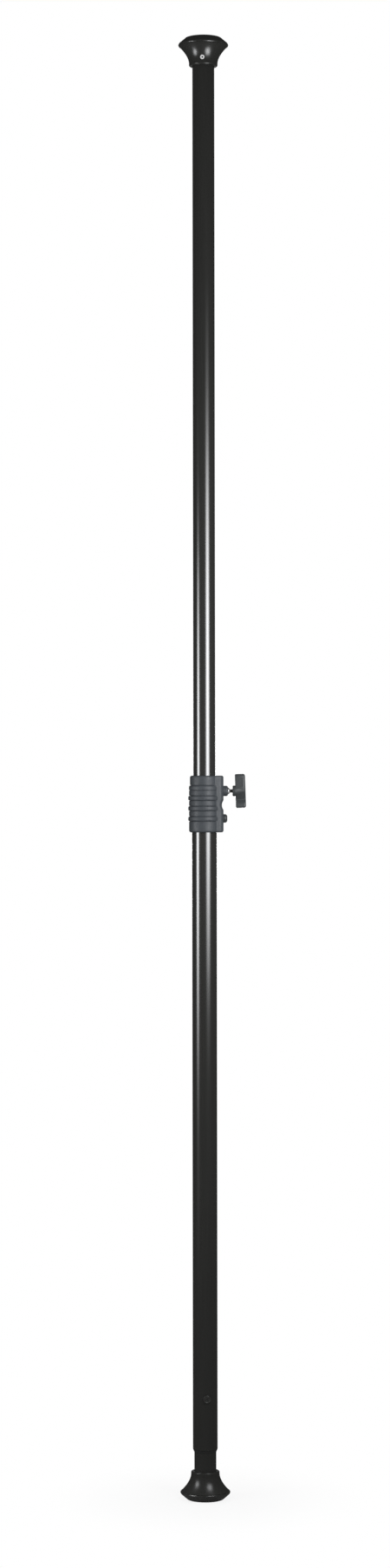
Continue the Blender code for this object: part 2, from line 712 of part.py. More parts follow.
def collar_set_screw(looks, body):
    tip = LOWER_R + GAP
    head = COLLAR_R - SET_SCREW_SINK
    profile = [
        (0, tip),
        (SET_SCREW_R, tip),
        (SET_SCREW_R, head),
        (SET_DRIVE_R, head),
        (SET_DRIVE_R, (tip + head) / 2),
        (0, (tip + head) / 2),
    ]
    add("collar_set_screw", turned("collar_set_screw", profile, SCREW_SIDES), looks["steel"], body,
        (0, 0, COLLAR_Z + SET_SCREW_C), (math.pi / 2, 0, math.pi))


def screw_insert(looks, body):
    """The threaded insert of the boss, with its conical nose."""
    bore_r = STUD_R + GAP
    profile = [
        (bore_r, INSERT_X),
        (INSERT_R, INSERT_X),
        (INSERT_R, BOSS_X + GAP),
        (NOSE_R, BOSS_X + GAP),
        (NOSE_END_R, NOSE_X),
        (bore_r, NOSE_X),
    ]
    insert = turned("screw_insert", profile, KNOB_SIDES)
    add("screw_insert", insert, looks["bright"], body, (0, 0, CLAMP_Z), ALONG_X)


def brake_shoe(looks, body):
    """The curved shoe between the clamp screw and the upper tube."""
    inner = UPPER_R + GAP
    half = SHOE_WIDTH / 2
    limit = math.asin(half / inner)
    angles = [limit * (2 * step / SHOE_STEPS - 1) for step in range(SHOE_STEPS + 1)]
    arc = [(inner * math.cos(angle), inner * math.sin(angle)) for angle in angles]
    outline = [*arc, (SHOE_BACK_X, half), (SHOE_BACK_X, -half)]
    mesh = extruded("brake_shoe", outline, SHOE_H, lambda a, b, d: (a, b, d))
    shoe = add("brake_shoe", mesh, looks["nylon"], body, (0, 0, CLAMP_Z))
    socket = rod("tip_socket", STUD_R + GAP, SHOE_BACK_X - TIP_SOCKET, SHOE_BACK_X + TIP_SOCKET)
    cut(shoe, socket, (0, 0, CLAMP_Z), ALONG_X)


def knob_stud(looks, body):
    profile = [
        (0, STUD_TIP_X),
        (STUD_R, STUD_TIP_X),
        (STUD_R, NOSE_X + GAP),
        (STUD_NECK_R, NOSE_X + GAP),
        (STUD_NECK_R, HUB_X + STUD_IN_KNOB),
        (0, HUB_X + STUD_IN_KNOB),
    ]
    stud = turned("knob_stud", profile, SCREW_SIDES)
    add("knob_stud", stud, looks["black"], body, (0, 0, CLAMP_Z), ALONG_X)


def t_knob(looks, body):
    """The T-bar and its hub, with the blind hole that holds the stud."""
    wing = [(depth * KNOB_DEPTH / 2, share * KNOB_SPAN / 2) for depth, share in WING]
    outline = wing + [(-across, -up) for across, up in wing]
    middle = BAR_X + KNOB_WIDTH / 2
    bar = extruded("t_knob", outline, KNOB_WIDTH, lambda a, b, d: (middle + d, a, b), KNOB_ROUND)
    knob = add("t_knob", bar, looks["knob"], body, (0, 0, CLAMP_Z))
    soft = HUB_ROUND * CORNER_MID
    hub = [
        (0, HUB_X),
        (HUB_R - HUB_ROUND, HUB_X),
        (HUB_R - soft, HUB_X + soft),
        (HUB_R, HUB_X + HUB_ROUND),
        (HUB_R, HUB_X + HUB_LENGTH),
        (HUB_R - HUB_ROUND, middle),
        (0, middle),
    ]
    join(knob, turned("knob_hub", hub, KNOB_SIDES), (0, 0, CLAMP_Z), ALONG_X)
    hole = rod("stud_hole", STUD_NECK_R + GAP, NOSE_X, HUB_X + STUD_IN_KNOB + GAP)
    cut(knob, hole, (0, 0, CLAMP_Z), ALONG_X)


def release_button(looks, body):
    """The push button, held in by two ears and pushing the lever with its domed tip."""
    soft = BUTTON_ROUND * CORNER_MID
    profile = [
        (0, BUTTON_TIP_X),
        (BUTTON_DOME_R, BUTTON_TIP_X + BUTTON_DOME_H),
        (BUTTON_TIP_R, BUTTON_BACK_X),
        (BUTTON_R, BUTTON_BACK_X),
        (BUTTON_R, BUTTON_FACE_X - BUTTON_ROUND),
        (BUTTON_R - soft, BUTTON_FACE_X - soft),
        (BUTTON_R - BUTTON_ROUND, BUTTON_FACE_X),
        (0, BUTTON_FACE_X),
    ]
    centre = (0, 0, COLLAR_Z + BUTTON_C)
    mesh = turned("release_button", profile, KNOB_SIDES)
    button = add("release_button", mesh, looks["knob"], body, centre, ALONG_X)
    ear_span = 2 * (BUTTON_R + EAR_REACH)
    join(button, block("ears", (EAR_T, ear_span, EAR_H)), (BUTTON_BACK_X + EAR_T / 2, 0, COLLAR_Z + BUTTON_C))


def lever_outline():
    """The lock lever seen from the front, about its pivot."""
    boss = PIVOT_BOSS_R
    lower_out = math.asin(LOWER_ARM_OUT / boss)
    upper_out = math.asin(UPPER_ARM_OUT / boss)
    arc = []
    for step in range(PIVOT_ARC_STEPS + 1):
        angle = -math.pi / 2 + lower_out + (math.pi - lower_out + upper_out) * step / PIVOT_ARC_STEPS
        arc.append((boss * math.cos(angle), boss * math.sin(angle)))
    inner_arc = []
    upper_in = math.acos(-UPPER_ARM_IN / boss)
    lower_in = 3 * math.pi / 2 - math.asin(LOWER_ARM_IN / boss)
    inner_steps = PIVOT_ARC_STEPS // 2
    for step in range(1, inner_steps):
        angle = upper_in + (lower_in - upper_in) * step / inner_steps
        inner_arc.append((boss * math.cos(angle), boss * math.sin(angle)))
    jaw_x = UPPER_R / 2 - PIVOT_X
    return [
        (LOWER_ARM_OUT, ARM_END_C - PIVOT_C),
        *arc,
        (-UPPER_ARM_OUT, JAW_TOP_C - PIVOT_C),
        (jaw_x, JAW_TOP_C - PIVOT_C),
        (jaw_x, JAW_LOW_C - PIVOT_C),
        (-UPPER_ARM_IN, JAW_LOW_C - PIVOT_C),
        (-UPPER_ARM_IN, math.sqrt(boss ** 2 - UPPER_ARM_IN ** 2)),
        *inner_arc,
        (-LOWER_ARM_IN, -math.sqrt(boss ** 2 - LOWER_ARM_IN ** 2)),
        (-LOWER_ARM_IN, ARM_END_C - PIVOT_C),
    ]


def lock_lever(looks, body):
    pivot = (PIVOT_X, 0, COLLAR_Z + PIVOT_C)
    mesh = extruded("lock_lever", lever_outline(), LEVER_WIDTH, lambda a, b, d: (a, d, b))
    lever = add("lock_lever", mesh, looks["steel"], body, pivot)
    cut(lever, rod("tube_way", UPPER_R + GAP, COLLAR_Z, CLAMP_Z, TUBE_SIDES))
    cut(lever, rod("lever_bore", PIN_R + GAP, -LEVER_WIDTH, LEVER_WIDTH), pivot, ALONG_Y)


def lever_pin(looks, body):
    half = lug_half(PIVOT_X)
    pin = rod("lever_pin", PIN_R, PIN_INSET - half, half - PIN_BLIND)
    add("lever_pin", pin, looks["steel"], body, (PIVOT_X, 0, COLLAR_Z + PIVOT_C), ALONG_Y)


def springs(looks, body):
    """The foot's spring and the lever's."""
    foot = coil("foot_spring", SPRING_MEAN_R, SPRING_WIRE_R, PLUG_END_H + GAP, STOP_LOW_Z - GAP,
                SPRING_TURNS, 1)
    add("foot_spring", foot, looks["steel"], body)
    arm_x = PIVOT_X - UPPER_ARM_OUT + GAP
    lock = coil("lock_spring", LOCK_SPRING_R, LOCK_WIRE_R, arm_x, LOCK_SEAT_X - GAP, LOCK_SPRING_TURNS, 0)
    add("lock_spring", lock, looks["steel"], body, (0, 0, COLLAR_Z + LOCK_SPRING_C), ALONG_X)


def glide_ring(looks, body):
    top = UPPER_END_Z - GAP
    ring = pipe("glide_ring", RING_IN_R, RING_OUT_R, top - RING_H, top)
    add("glide_ring", ring, looks["nylon"], body)


def glide_plug(looks, body):
    """The plug in the upper tube's lower end. Its flange traps the glide ring."""
    seat_r = RING_IN_R - GAP
    flange_top = UPPER_END_Z - RING_SEAT_H
    profile = [
        (GLIDE_BORE_R, flange_top - GLIDE_FLANGE_H),
        (GLIDE_FLANGE_R, flange_top - GLIDE_FLANGE_H),
        (GLIDE_FLANGE_R, flange_top),
        (seat_r, flange_top),
        (seat_r, UPPER_END_Z),
        (PLUG_R, UPPER_END_Z),
        (PLUG_R, UPPER_END_Z + GLIDE_SPIGOT),
        (GLIDE_BORE_R, UPPER_END_Z + GLIDE_SPIGOT),
    ]
    add("glide_plug", turned("glide_plug", profile, TUBE_SIDES), looks["nylon"], body)


def upper_tube(looks, body):
    tube = pipe("upper_tube", UPPER_BORE_R, UPPER_R, UPPER_END_Z, REST_LENGTH - TUBE_END_H)
    add("upper_tube", tube, looks["gloss"], body)


def plunger_sleeve(looks, body):
    """The sliding liner in the lower tube's end, with a tapered lip under it."""
    inner = UPPER_R + RUNNING_GAP
    outer = LOWER_BORE_R - RUNNING_GAP
    lip_top = LOWER_END_Z - GAP
    profile = [
        (inner, lip_top - LIP_H),
        (inner + LIP_TIP_WALL, lip_top - LIP_H),
        (LOWER_R - LIP_INSET, lip_top),
        (outer, lip_top),
        (outer, LOWER_END_Z + SLEEVE_LENGTH),
        (inner, LOWER_END_Z + SLEEVE_LENGTH),
    ]
    add("plunger_sleeve", turned("plunger_sleeve", profile, TUBE_SIDES), looks["nylon"], body)


def build():
    for old in list(bpy.data.objects):
        bpy.data.objects.remove(old)
    looks = {
        "gloss": finish("gloss_black", srgb(39, 39, 37), 0.12, 0.0),
        "rubber": finish("black_rubber", srgb(38, 38, 38), 0.5, 0.0),
        "collar": finish("grey_plastic", srgb(79, 82, 87), 0.5, 0.0),
        "knob": finish("grey_knob", srgb(74, 78, 80), 0.45, 0.0),
        "steel": finish("steel", srgb(150, 150, 150), 0.3, 1.0),
        "black": finish("black_steel", srgb(42, 42, 42), 0.35, 0.0),
        "bright": finish("bright_metal", srgb(225, 225, 225), 0.15, 1.0),
        "nylon": finish("black_nylon", srgb(50, 50, 50), 0.4, 0.0),
    }
    frame = carrier("stand_frame", (0, 0, 0))
    foot = carrier("foot_slide", (0, 0, LOWER_END_Z), frame)
    glide = carrier("mast_slide", (0, 0, UPPER_END_Z), frame)
    mast = carrier("mast_swivel", (0, 0, UPPER_END_Z), glide)
    shoe = carrier("clamp_slide", (SHOE_BACK_X, 0, CLAMP_Z), frame)
    knob = carrier("knob_axis", (HUB_X, 0, CLAMP_Z), shoe)
    button = carrier("button_slide", (LUG_X, 0, COLLAR_Z + BUTTON_C), frame)
    lever = carrier("lever_pivot", (PIVOT_X, 0, COLLAR_Z + PIVOT_C), frame)

    end_fitting("floor_pad", "bottom_cup", "foot_plug", "foot_washer", "foot_screw", looks, foot,
                with_spigot=True)
    foot_plunger(looks, foot)
    for make in (lower_tube, plunger_sleeve, guide_screw, spring_stop, collar_housing, collar_bush,
                 collar_set_screw, screw_insert, lever_pin, springs):
        make(looks, frame)
    glide_ring(looks, glide)
    upper_tube(looks, mast)
    glide_plug(looks, mast)
    end_fitting("ceiling_pad", "top_cup", "top_plug", "top_washer", "top_screw", looks, mast,
                flip=True)
    brake_shoe(looks, shoe)
    knob_stud(looks, knob)
    t_knob(looks, knob)
    release_button(looks, button)
    lock_lever(looks, lever)


build()
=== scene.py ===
"""Looks of a telescopic floor-to-ceiling pole: turned cups and tubes, a ribbed collar and its clamp knob.

Metres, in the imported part's frame: +Z up, +X towards the knob, and the front faces -Y. Heights named H are
measured from a boot's face into the pole, and heights named C from the collar's underside.
"""

import json
import math

import bmesh
import bpy
from mathutils import Matrix, Vector


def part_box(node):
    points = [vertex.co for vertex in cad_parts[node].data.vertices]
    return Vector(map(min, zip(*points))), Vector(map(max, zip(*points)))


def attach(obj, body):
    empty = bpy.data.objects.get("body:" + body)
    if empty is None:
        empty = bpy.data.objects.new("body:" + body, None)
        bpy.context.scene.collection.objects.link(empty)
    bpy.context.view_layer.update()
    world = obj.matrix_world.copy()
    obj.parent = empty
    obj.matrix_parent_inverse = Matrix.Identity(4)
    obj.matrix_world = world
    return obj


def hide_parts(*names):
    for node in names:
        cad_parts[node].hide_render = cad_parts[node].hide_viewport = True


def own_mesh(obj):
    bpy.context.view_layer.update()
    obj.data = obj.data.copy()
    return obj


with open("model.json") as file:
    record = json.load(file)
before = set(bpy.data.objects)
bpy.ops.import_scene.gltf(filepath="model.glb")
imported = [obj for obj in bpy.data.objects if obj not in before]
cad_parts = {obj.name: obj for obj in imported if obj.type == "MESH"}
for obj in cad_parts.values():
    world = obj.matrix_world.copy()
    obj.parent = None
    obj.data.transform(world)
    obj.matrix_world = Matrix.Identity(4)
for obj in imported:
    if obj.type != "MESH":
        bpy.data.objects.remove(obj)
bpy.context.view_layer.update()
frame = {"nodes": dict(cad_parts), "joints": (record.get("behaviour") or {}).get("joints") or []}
nodes = frame["nodes"]
joints = {joint["name"]: joint for joint in frame["joints"]}

# Camera of the photograph
EYE = (-0.0170, -5.85, 1.301)
LENS = 73.77
SENSOR = 36.0              # the taller side
ROLL = math.radians(-0.086)
FAR = 100

# Studio
RIGHT_AWAY = 1.08
RIGHT_TURN = 35.6
RIGHT_WIDTH = 0.945
RIGHT_POWER = 39.5
RIGHT_PROFILE = (          # (height, brightness) up the lamp
    (0.7, 0.0),
    (0.9, 0.14),
    (1.15, 0.68),
    (1.48, 0.98),
    (1.8, 0.72),
    (2.05, 0.18),
    (2.35, 0.0),
)
LEFT_AWAY = 1.63
LEFT_TURN = -65
LEFT_WIDTH = 0.95
LEFT_POWER = 45
LEFT_PROFILE = (
    (0.2, 0.0),
    (0.65, 0.10),
    (0.9, 0.55),
    (1.15, 0.96),
    (1.55, 0.82),
    (1.8, 0.22),
    (1.95, 0.03),
    (2.2, 0.0),
)
BACK_AWAY = 1.35
BACK_WIDTH = 0.3
BACK_POWER = 14
BACK_PROFILE = (
    (0.9, 0.0),
    (1.25, 1.0),
    (1.6, 0.0),
)
SIDE_POWER = 1.25          # of the half sine wave that is the brightness across a lamp
SIDE_STOPS = 12
LAMP_COLOUR = (0.97, 0.98, 1.0)
FILL_FRONT = 0.39          # light on matt surfaces that face the camera, and those that face away
FILL_BACK = 0.26
ROOM = 0.02                # what gloss sees between the lamps
FLOOR_R = 0.32
FLOOR_INNER_R = 0.02
FLOOR_COVER = 0.12
FLOOR_SIDES = 96
FLOOR_COLOUR = (0.95, 0.95, 0.95, 1)
WHITE = (1, 1, 1, 1)

# How squarely a reflection must look behind the pole to see some of the backdrop, and to see all of it
BEHIND = (0.980, 0.994)

# How steeply up or down it may look before the backdrop thins out, and before it is gone
STEEP = (0.08, 0.17)

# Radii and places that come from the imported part
POLE_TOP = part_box("ceiling_pad")[1].z
UPPER_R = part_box("upper_tube")[1].x
LOWER_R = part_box("lower_tube")[1].x
COLLAR_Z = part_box("collar_housing")[0].z
COLLAR_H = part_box("collar_housing")[1].z - COLLAR_Z
CLAMP_Z = (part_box("t_knob")[0].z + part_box("t_knob")[1].z) / 2
BUTTON_Z = (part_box("release_button")[0].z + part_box("release_button")[1].z) / 2

# Room between pieces that touch
GAP = 0.0003

# Tubes
TUBE_WALL = 0.0015
TUBE_ROUND = 0.0006
TUBE_INNER_ROUND = 0.0003
TUBE_LAND = 0.002          # keeps the soft ends' shading off the sides

# Mesh density
TUBE_SIDES = 96
CUP_SIDES = 128
SMALL_SIDES = 64
MERGE = 1e-6
SHARP = math.radians(40)
STRAIGHT = math.radians(88)    # half a corner's angle, past which it isn't rounded
ROUND_REACH = 0.48             # of an edge that the rounding at one end may take

# Boots and cups
FACE_R = 0.033
FACE_ROUND = 0.001
BEVEL_H = 0.0096
BEVEL_R = 0.0443
BEVEL_ROUND = 0.003
RIM_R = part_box("floor_pad")[1].x
RIM_H = 0.0122
RIM_ROUND = 0.004
BOOT_H = 0.0146
LIP_R = BEVEL_R + 0.0004
LIP_ROUND = 0.0011
BOOT_WALL = 0.004
BOOT_EDGE_ROUND = 0.0003
BOOT_FLOOR = 0.0087
BOOT_FLOOR_ROUND = 0.001
TREAD_DEPTH = 0.0008
TREAD_WIDTH = 0.0016
TREAD_ROUND = 0.0002
TREADS = (0.008, 0.014, 0.020, 0.026)
NECK_R = 0.026
NECK_ROUND = 0.0042
FLARE_WIDTH = 0.0174
FLARE_END_H = 0.046
FLARE_POWER = 1.8
FLARE_STEPS = 28
CUP_H = 0.051
SKIRT_ROOM = 0.0005
SOCKET_DEPTH = 0.004

# Index ring on the upper cup
MARK_X = -0.0018
MARK_H = 0.0393
MARK_OUT_R = 0.0038
MARK_IN_R = 0.0015
MARK_THICK = 0.00012
MARK_STEPS = 40

# Collar
BODY_R = 0.0279
CUFF_STEP = 0.0016         # the end above the top rib is slimmer by this
END_ROUND = 0.0035
END_STEPS = 6
RIB_COUNT = 4
FIRST_RIB_C = 0.0246
RIB_PITCH = 0.0188
RIB_WIDTH = 0.0080
RIB_RISE = 0.0015
CUFF_RIB_RISE = 0.0002     # of the top rib over the side under it
RIB_FLATNESS = 2.2
GROOVE_DEPTH = 0.0013
GROOVE_WIDTH = 0.0013
RIB_ROWS = (               # mesh rows across each edge of a rib, measured into it
    -0.0013, -0.0009, -0.0007, -0.00055, -0.0004, -0.00025, -0.0001,
    0, 0.0001, 0.00025, 0.0005, 0.0009, 0.0015,
)
RIB_CLEAR = 0.0017         # from a rib's edge to the plain rows
LUG_X = LOWER_R + 0.0123
LUG_ROOT_X = 0.021
LUG_ROOT_HALF = 0.0173     # half its width at its root
LUG_SLANT = math.radians(11)
LUG_CORNER = 0.0088
LUG_BLEND = 0.0004
SCALLOP_C = 0.0495
SCALLOP_DEPTH = 0.0029
SCALLOP_H = 0.0174
SCALLOP_BLEND = 0.0006
SCALLOP_REACH = 1.3        # of half its height, past which the lug is flat
SEAT_C = 0.0513
BORE_ROOM = 0.0004
BORE_CHAMFER = 0.0008
CUFF_C = FIRST_RIB_C + (RIB_COUNT - 1) * RIB_PITCH
COLLAR_ROW = 0.0015
LUG_SPAN = math.radians(48)
LUG_COLUMNS = 96
BACK_COLUMNS = 104

# Boss, insert, stud and knob
BOSS_R = 0.0094
BOSS_ROOT = 0.0012
BOSS_ROUND = 0.0036
BOSS_X = LUG_X + 0.0084
BOSS_SUNK = 0.002          # of the boss and its foot inside the lug
BOSS_FOOT_H = 0.0002
INSERT_HOLE_R = 0.0060
INSERT_HOLE_X = LUG_X - 0.006
NOSE_R = 0.0061            # the insert's nose, where it leaves the boss
NOSE_TIP_R = 0.0036
NOSE_H = 0.0028
NOSE_POWER = 1.7
NOSE_STEPS = 8
HUB_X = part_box("t_knob")[0].x
STUD_R = 0.0033
THREAD_PITCH = 0.001
THREAD_DEPTH = 0.0005
THREAD_ROWS = 8            # in each pitch
STUD_SIDES = 48
STUD_IN_HUB = 0.001
HUB_R = 0.0097
HUB_ROUND = 0.002
HUB_TAPER = 0.002
HUB_IN_BAR = 0.001
BAR_X = HUB_X + 0.0052
BAR_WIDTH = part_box("t_knob")[1].x - BAR_X
BAR_MIDDLE_X = BAR_X + BAR_WIDTH / 2
BAR_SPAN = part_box("t_knob")[1].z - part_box("t_knob")[0].z
BAR_DEPTH = 0.0166
BAR_ROUND = 0.0022
BAR_FACE_ROUND = 0.0037
BAR_ROUND_STEPS = 7
OUTLINE_STEPS = 4          # between two points of the wings' outline
BAR_LEAN = math.radians(-2.0)
PANEL_WIDTH = 0.0068
PANEL_LOW = 0.0076         # both ends of the sunk panel, from the screw's axis
PANEL_HIGH = 0.0232
PANEL_DEPTH = 0.0006
PANEL_STEPS = 12

# One upper wing of the knob's bar, as shares of half its depth and half its span
WING = (
    (-0.97, 0.02),
    (-1.02, 0.22),
    (-0.98, 0.62),
    (-0.88, 0.88),
    (-0.66, 0.98),
    (-0.30, 1.00),
    (0.30, 1.00),
    (0.50, 0.98),
    (0.58, 0.87),
    (0.48, 0.73),
    (0.22, 0.61),
    (0.00, 0.51),
    (0.36, 0.33),
    (0.73, 0.15),
    (0.91, 0.06),
)

# Button
BUTTON_R = 0.0078
BUTTON_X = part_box("release_button")[1].x
BUTTON_ROUND = 0.0044
BUTTON_ROUND_STEPS = 12
BUTTON_DISH = 0.0004
BUTTON_DISH_EDGE = 0.0006
BUTTON_DEPTH = 0.0035      # of its sides inside the lug, when it isn't pressed
BUTTON_HOLE = BUTTON_DEPTH + joints["button_press"]["range_m"][1] + 2 * GAP
BUTTON_CHAMFER = 0.0008    # round the mouth of its hole
CUT_OVER = 0.0004          # of a cutter past the face that it cuts

# Springs
COIL_STEPS = 32            # in each turn
WIRE_SIDES = 12
CLOSED_TURNS = 0.9         # at each end of a spring
FOOT_WIRE_R = 0.002
FOOT_TURNS = 12
LOCK_WIRE_R = 0.0003
LOCK_TURNS = 5

# Guide screw
GUIDE_Z = (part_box("guide_screw")[0].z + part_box("guide_screw")[1].z) / 2
GUIDE_TURN = math.radians(8)
GUIDE_HEAD_R = 0.0068
GUIDE_HEAD_H = 0.0024
GUIDE_RIM = 0.0011         # width of the raised rim round the head
GUIDE_RIM_FOOT = 1.6       # of the rim's width, where the sunk face starts
GUIDE_SINK = 0.0005
GUIDE_SINK_ROUND = 0.0003
GUIDE_SHANK_R = 0.003
GUIDE_END = UPPER_R / 2
HEX_R = 0.0024
HEX_ROUND = 0.0004
HEX_DEPTH = 0.0016

ALONG_X = Matrix.Rotation(math.pi / 2, 4, "Y")


def srgb(red, green, blue):
    """A colour of 0 to 255 values as Blender's linear colour."""
    def linear(value):
        share = value / 255
        return share / 12.92 if share <= 0.04045 else ((share + 0.055) / 1.055) ** 2.4
    return (linear(red), linear(green), linear(blue), 1)


def add_node(tree, kind, **values):
    """A shader node with these input values. An input's name has _ for each space."""
    made = tree.nodes.new("ShaderNode" + kind)
    for key, value in values.items():
        made.inputs[key.replace("_", " ")].default_value = value
    return made


def add_math(tree, operation):
    made = add_node(tree, "Math")
    made.operation = operation
    return made


def link_all(tree, pairs):
    for source, target in pairs:
        tree.links.new(source, target)


class Finish:
    """A Principled material with helpers that add its procedural detail."""

    def __init__(self, name, colour, roughness, metallic=0.0, specular=0.5):
        self.made = bpy.data.materials.new(name)
        self.made.use_nodes = True
        self.tree = self.made.node_tree
        self.shader = self.tree.nodes["Principled BSDF"]
        self.colour = colour
        self.roughness = roughness
        self.shader.inputs["Base Color"].default_value = colour
        self.shader.inputs["Roughness"].default_value = roughness
        self.shader.inputs["Metallic"].default_value = metallic
        self.shader.inputs["Specular IOR Level"].default_value = specular
        self.places = add_node(self.tree, "TexCoord")

    def coat(self, weight, roughness, ior=1.5):
        self.shader.inputs["Coat Weight"].default_value = weight
        self.shader.inputs["Coat Roughness"].default_value = roughness
        self.shader.inputs["Coat IOR"].default_value = ior

    def link(self, source, target):
        self.tree.links.new(source, target)

    def noise(self, scale, stretch=(1, 1, 1), detail=3.0):
        """Noise of the given scale per metre, stretched along the axes."""
        mapping = add_node(self.tree, "Mapping", Scale=stretch)
        self.link(self.places.outputs["Object"], mapping.inputs["Vector"])
        texture = add_node(self.tree, "TexNoise", Scale=scale, Detail=detail)
        self.link(mapping.outputs["Vector"], texture.inputs["Vector"])
        return texture.outputs["Fac"]

    def spread(self, source, low, high):
        """Maps the noise's middle band to the range from low to high."""
        ranged = add_node(self.tree, "MapRange", From_Min=0.3, From_Max=0.7, To_Min=low, To_Max=high)
        self.link(source, ranged.inputs["Value"])
        return ranged.outputs["Result"]

    def vary_colour(self, source, amount):
        """Darkens and lightens the colour by that share."""
        mix = add_node(self.tree, "Mix")
        mix.data_type = "RGBA"
        dark_input, light_input = mix.inputs[6:8]
        colour_output = mix.outputs[2]
        dark_input.default_value = [channel * (1 - amount) for channel in self.colour[:3]] + [1]
        light_input.default_value = [min(1, channel * (1 + amount)) for channel in self.colour[:3]] + [1]
        self.link(self.spread(source, 0, 1), mix.inputs["Factor"])
        self.link(colour_output, self.shader.inputs["Base Color"])

    def vary_roughness(self, source, amount):
        ranged = self.spread(source, self.roughness - amount, self.roughness + amount)
        self.link(ranged, self.shader.inputs["Roughness"])

    def bump(self, source, height):
        bump = add_node(self.tree, "Bump", Strength=1.0, Distance=height)
        self.link(source, bump.inputs["Height"])
        self.link(bump.outputs["Normal"], self.shader.inputs["Normal"])


def tube_black():
    """Glossy black anodised tube with faint drawing lines along it."""
    look = Finish("tube_black", srgb(49, 49, 47), 0.21, specular=0.8)
    look.coat(1.0, 0.13, 1.8)
    lines = look.noise(900, (1, 1, 0.01))
    smudges = look.noise(14, (1, 1, 0.3))
    look.vary_roughness(smudges, 0.015)
    look.vary_colour(lines, 0.10)
    look.bump(lines, 0.0000004)
    return look.made


def cup_black(name, gloss):
    """Moulded plastic with a slight orange peel, under as much gloss as given."""
    look = Finish(name, srgb(52, 52, 50), 0.24, specular=0.5)
    look.coat(gloss, 0.19, 1.6)
    look.vary_roughness(look.noise(60), 0.03)
    look.vary_colour(look.noise(300), 0.08)
    look.bump(look.noise(420, detail=1.0), 0.00001)
    return look.made


def rubber_black():
    """Smooth, slightly uneven rubber."""
    look = Finish("rubber_black", srgb(52, 52, 50), 0.24, specular=0.9)
    look.coat(0.8, 0.16)
    look.vary_roughness(look.noise(90), 0.06)
    look.vary_colour(look.noise(240), 0.12)
    look.bump(look.noise(1500), 0.00002)
    return look.made


def grained_plastic(name, colour, roughness, grain_height):
    """Spark-eroded grey plastic."""
    look = Finish(name, colour, roughness, specular=0.5)
    grain = look.noise(1700, detail=2.0)
    look.vary_roughness(look.noise(120), 0.05)
    look.vary_colour(look.noise(420), 0.09)
    look.bump(grain, grain_height)
    return look.made


def metal(name, colour, roughness):
    """Bare metal with a fine grain."""
    look = Finish(name, colour, roughness, metallic=1.0)
    grain = look.noise(1200)
    look.vary_roughness(grain, 0.06)
    look.bump(grain, 0.000006)
    return look.made


def black_steel():
    """Blackened screw steel."""
    look = Finish("black_steel", srgb(58, 58, 56), 0.26, specular=1.0)
    look.vary_roughness(look.noise(900), 0.06)
    look.bump(look.noise(1500), 0.00001)
    return look.made


def nylon_black():
    """Matt nylon of the hidden liners and plugs."""
    look = Finish("nylon_black", srgb(48, 48, 48), 0.42)
    look.vary_roughness(look.noise(300), 0.05)
    look.bump(look.noise(1500), 0.00001)
    return look.made


def mark_white():
    """White print."""
    look = Finish("mark_white", srgb(244, 244, 244), 0.4)
    look.vary_colour(look.noise(2500), 0.03)
    return look.made


def to_object(bm, name, look, body, replaces=(), place=Matrix.Identity(4)):
    """Makes a closed mesh an object of the model, shaded smooth with its corners sharp."""
    bmesh.ops.remove_doubles(bm, verts=bm.verts, dist=MERGE)
    bmesh.ops.recalc_face_normals(bm, faces=bm.faces)
    bm.transform(place)
    mesh = bpy.data.meshes.new(name)
    bm.to_mesh(mesh)
    bm.free()
    mesh.shade_smooth()
    mesh.set_sharp_from_angle(angle=SHARP)
    mesh.materials.append(look)
    piece = bpy.data.objects.new(name, mesh)
    bpy.context.scene.collection.objects.link(piece)
    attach(piece, body)
    if replaces:
        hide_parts(*replaces)
    return piece


def cut_with(piece, tool_bm, operation="DIFFERENCE"):
    """Applies a Boolean with the tool's mesh, and leaves the tool out of the scene."""
    bmesh.ops.recalc_face_normals(tool_bm, faces=tool_bm.faces)
    tool_mesh = bpy.data.meshes.new("tool")
    tool_bm.to_mesh(tool_mesh)
    tool_bm.free()
    tool = bpy.data.objects.new("tool", tool_mesh)
    bpy.context.scene.collection.objects.link(tool)
    step = piece.modifiers.new("step", "BOOLEAN")
    step.operation = operation
    step.object = tool
    graph = bpy.context.evaluated_depsgraph_get()
    result = bpy.data.meshes.new_from_object(piece.evaluated_get(graph))
    piece.modifiers.remove(step)
    name = piece.data.name
    piece.data = result
    result.name = name
    bpy.data.objects.remove(tool)
    result.shade_smooth()
    result.set_sharp_from_angle(angle=SHARP)


def softened(corners, steps=5):
    """Replaces each (a, b, radius) corner of a closed outline by an arc of that radius."""
    points = []
    count = len(corners)
    for index, (a, b, radius) in enumerate(corners):
        here = Vector((a, b))
        before = Vector(corners[index - 1][:2]) - here
        after = Vector(corners[(index + 1) % count][:2]) - here
        if not radius or before.length == 0 or after.length == 0:
            points.append((a, b))
            continue
        half = before.angle(after) / 2
        if half > STRAIGHT:
            points.append((a, b))
            continue
        reach = min(radius / math.tan(half), ROUND_REACH * before.length, ROUND_REACH * after.length)
        bend = reach * math.tan(half)
        centre = here + (before.normalized() + after.normalized()).normalized() * bend / math.sin(half)
        start = here + before.normalized() * reach - centre
        end = here + after.normalized() * reach - centre
        turn = math.atan2(start.x * end.y - start.y * end.x, start.dot(end))
        for step in range(steps + 1):
            arm = Matrix.Rotation(turn * step / steps, 2) @ start
            points.append((centre.x + arm.x, centre.y + arm.y))
    return points


def turned(profile, sides):
    """A solid of revolution about Z from a closed loop of (radius, height) points."""
    bm = bmesh.new()
    verts = [bm.verts.new((max(radius, 0), 0, height)) for radius, height in profile]
    pairs = zip(verts, verts[1:] + verts[:1])
    edges = [bm.edges.new(pair) for pair in pairs if not (pair[0].co.x == 0 and pair[1].co.x == 0)]
    bmesh.ops.spin(bm, geom=verts + edges, cent=(0, 0, 0), axis=(0, 0, 1), dvec=(0, 0, 0),
                   angle=2 * math.pi, steps=sides, use_merge=True)
    bmesh.ops.remove_doubles(bm, verts=bm.verts, dist=MERGE)
    return bm


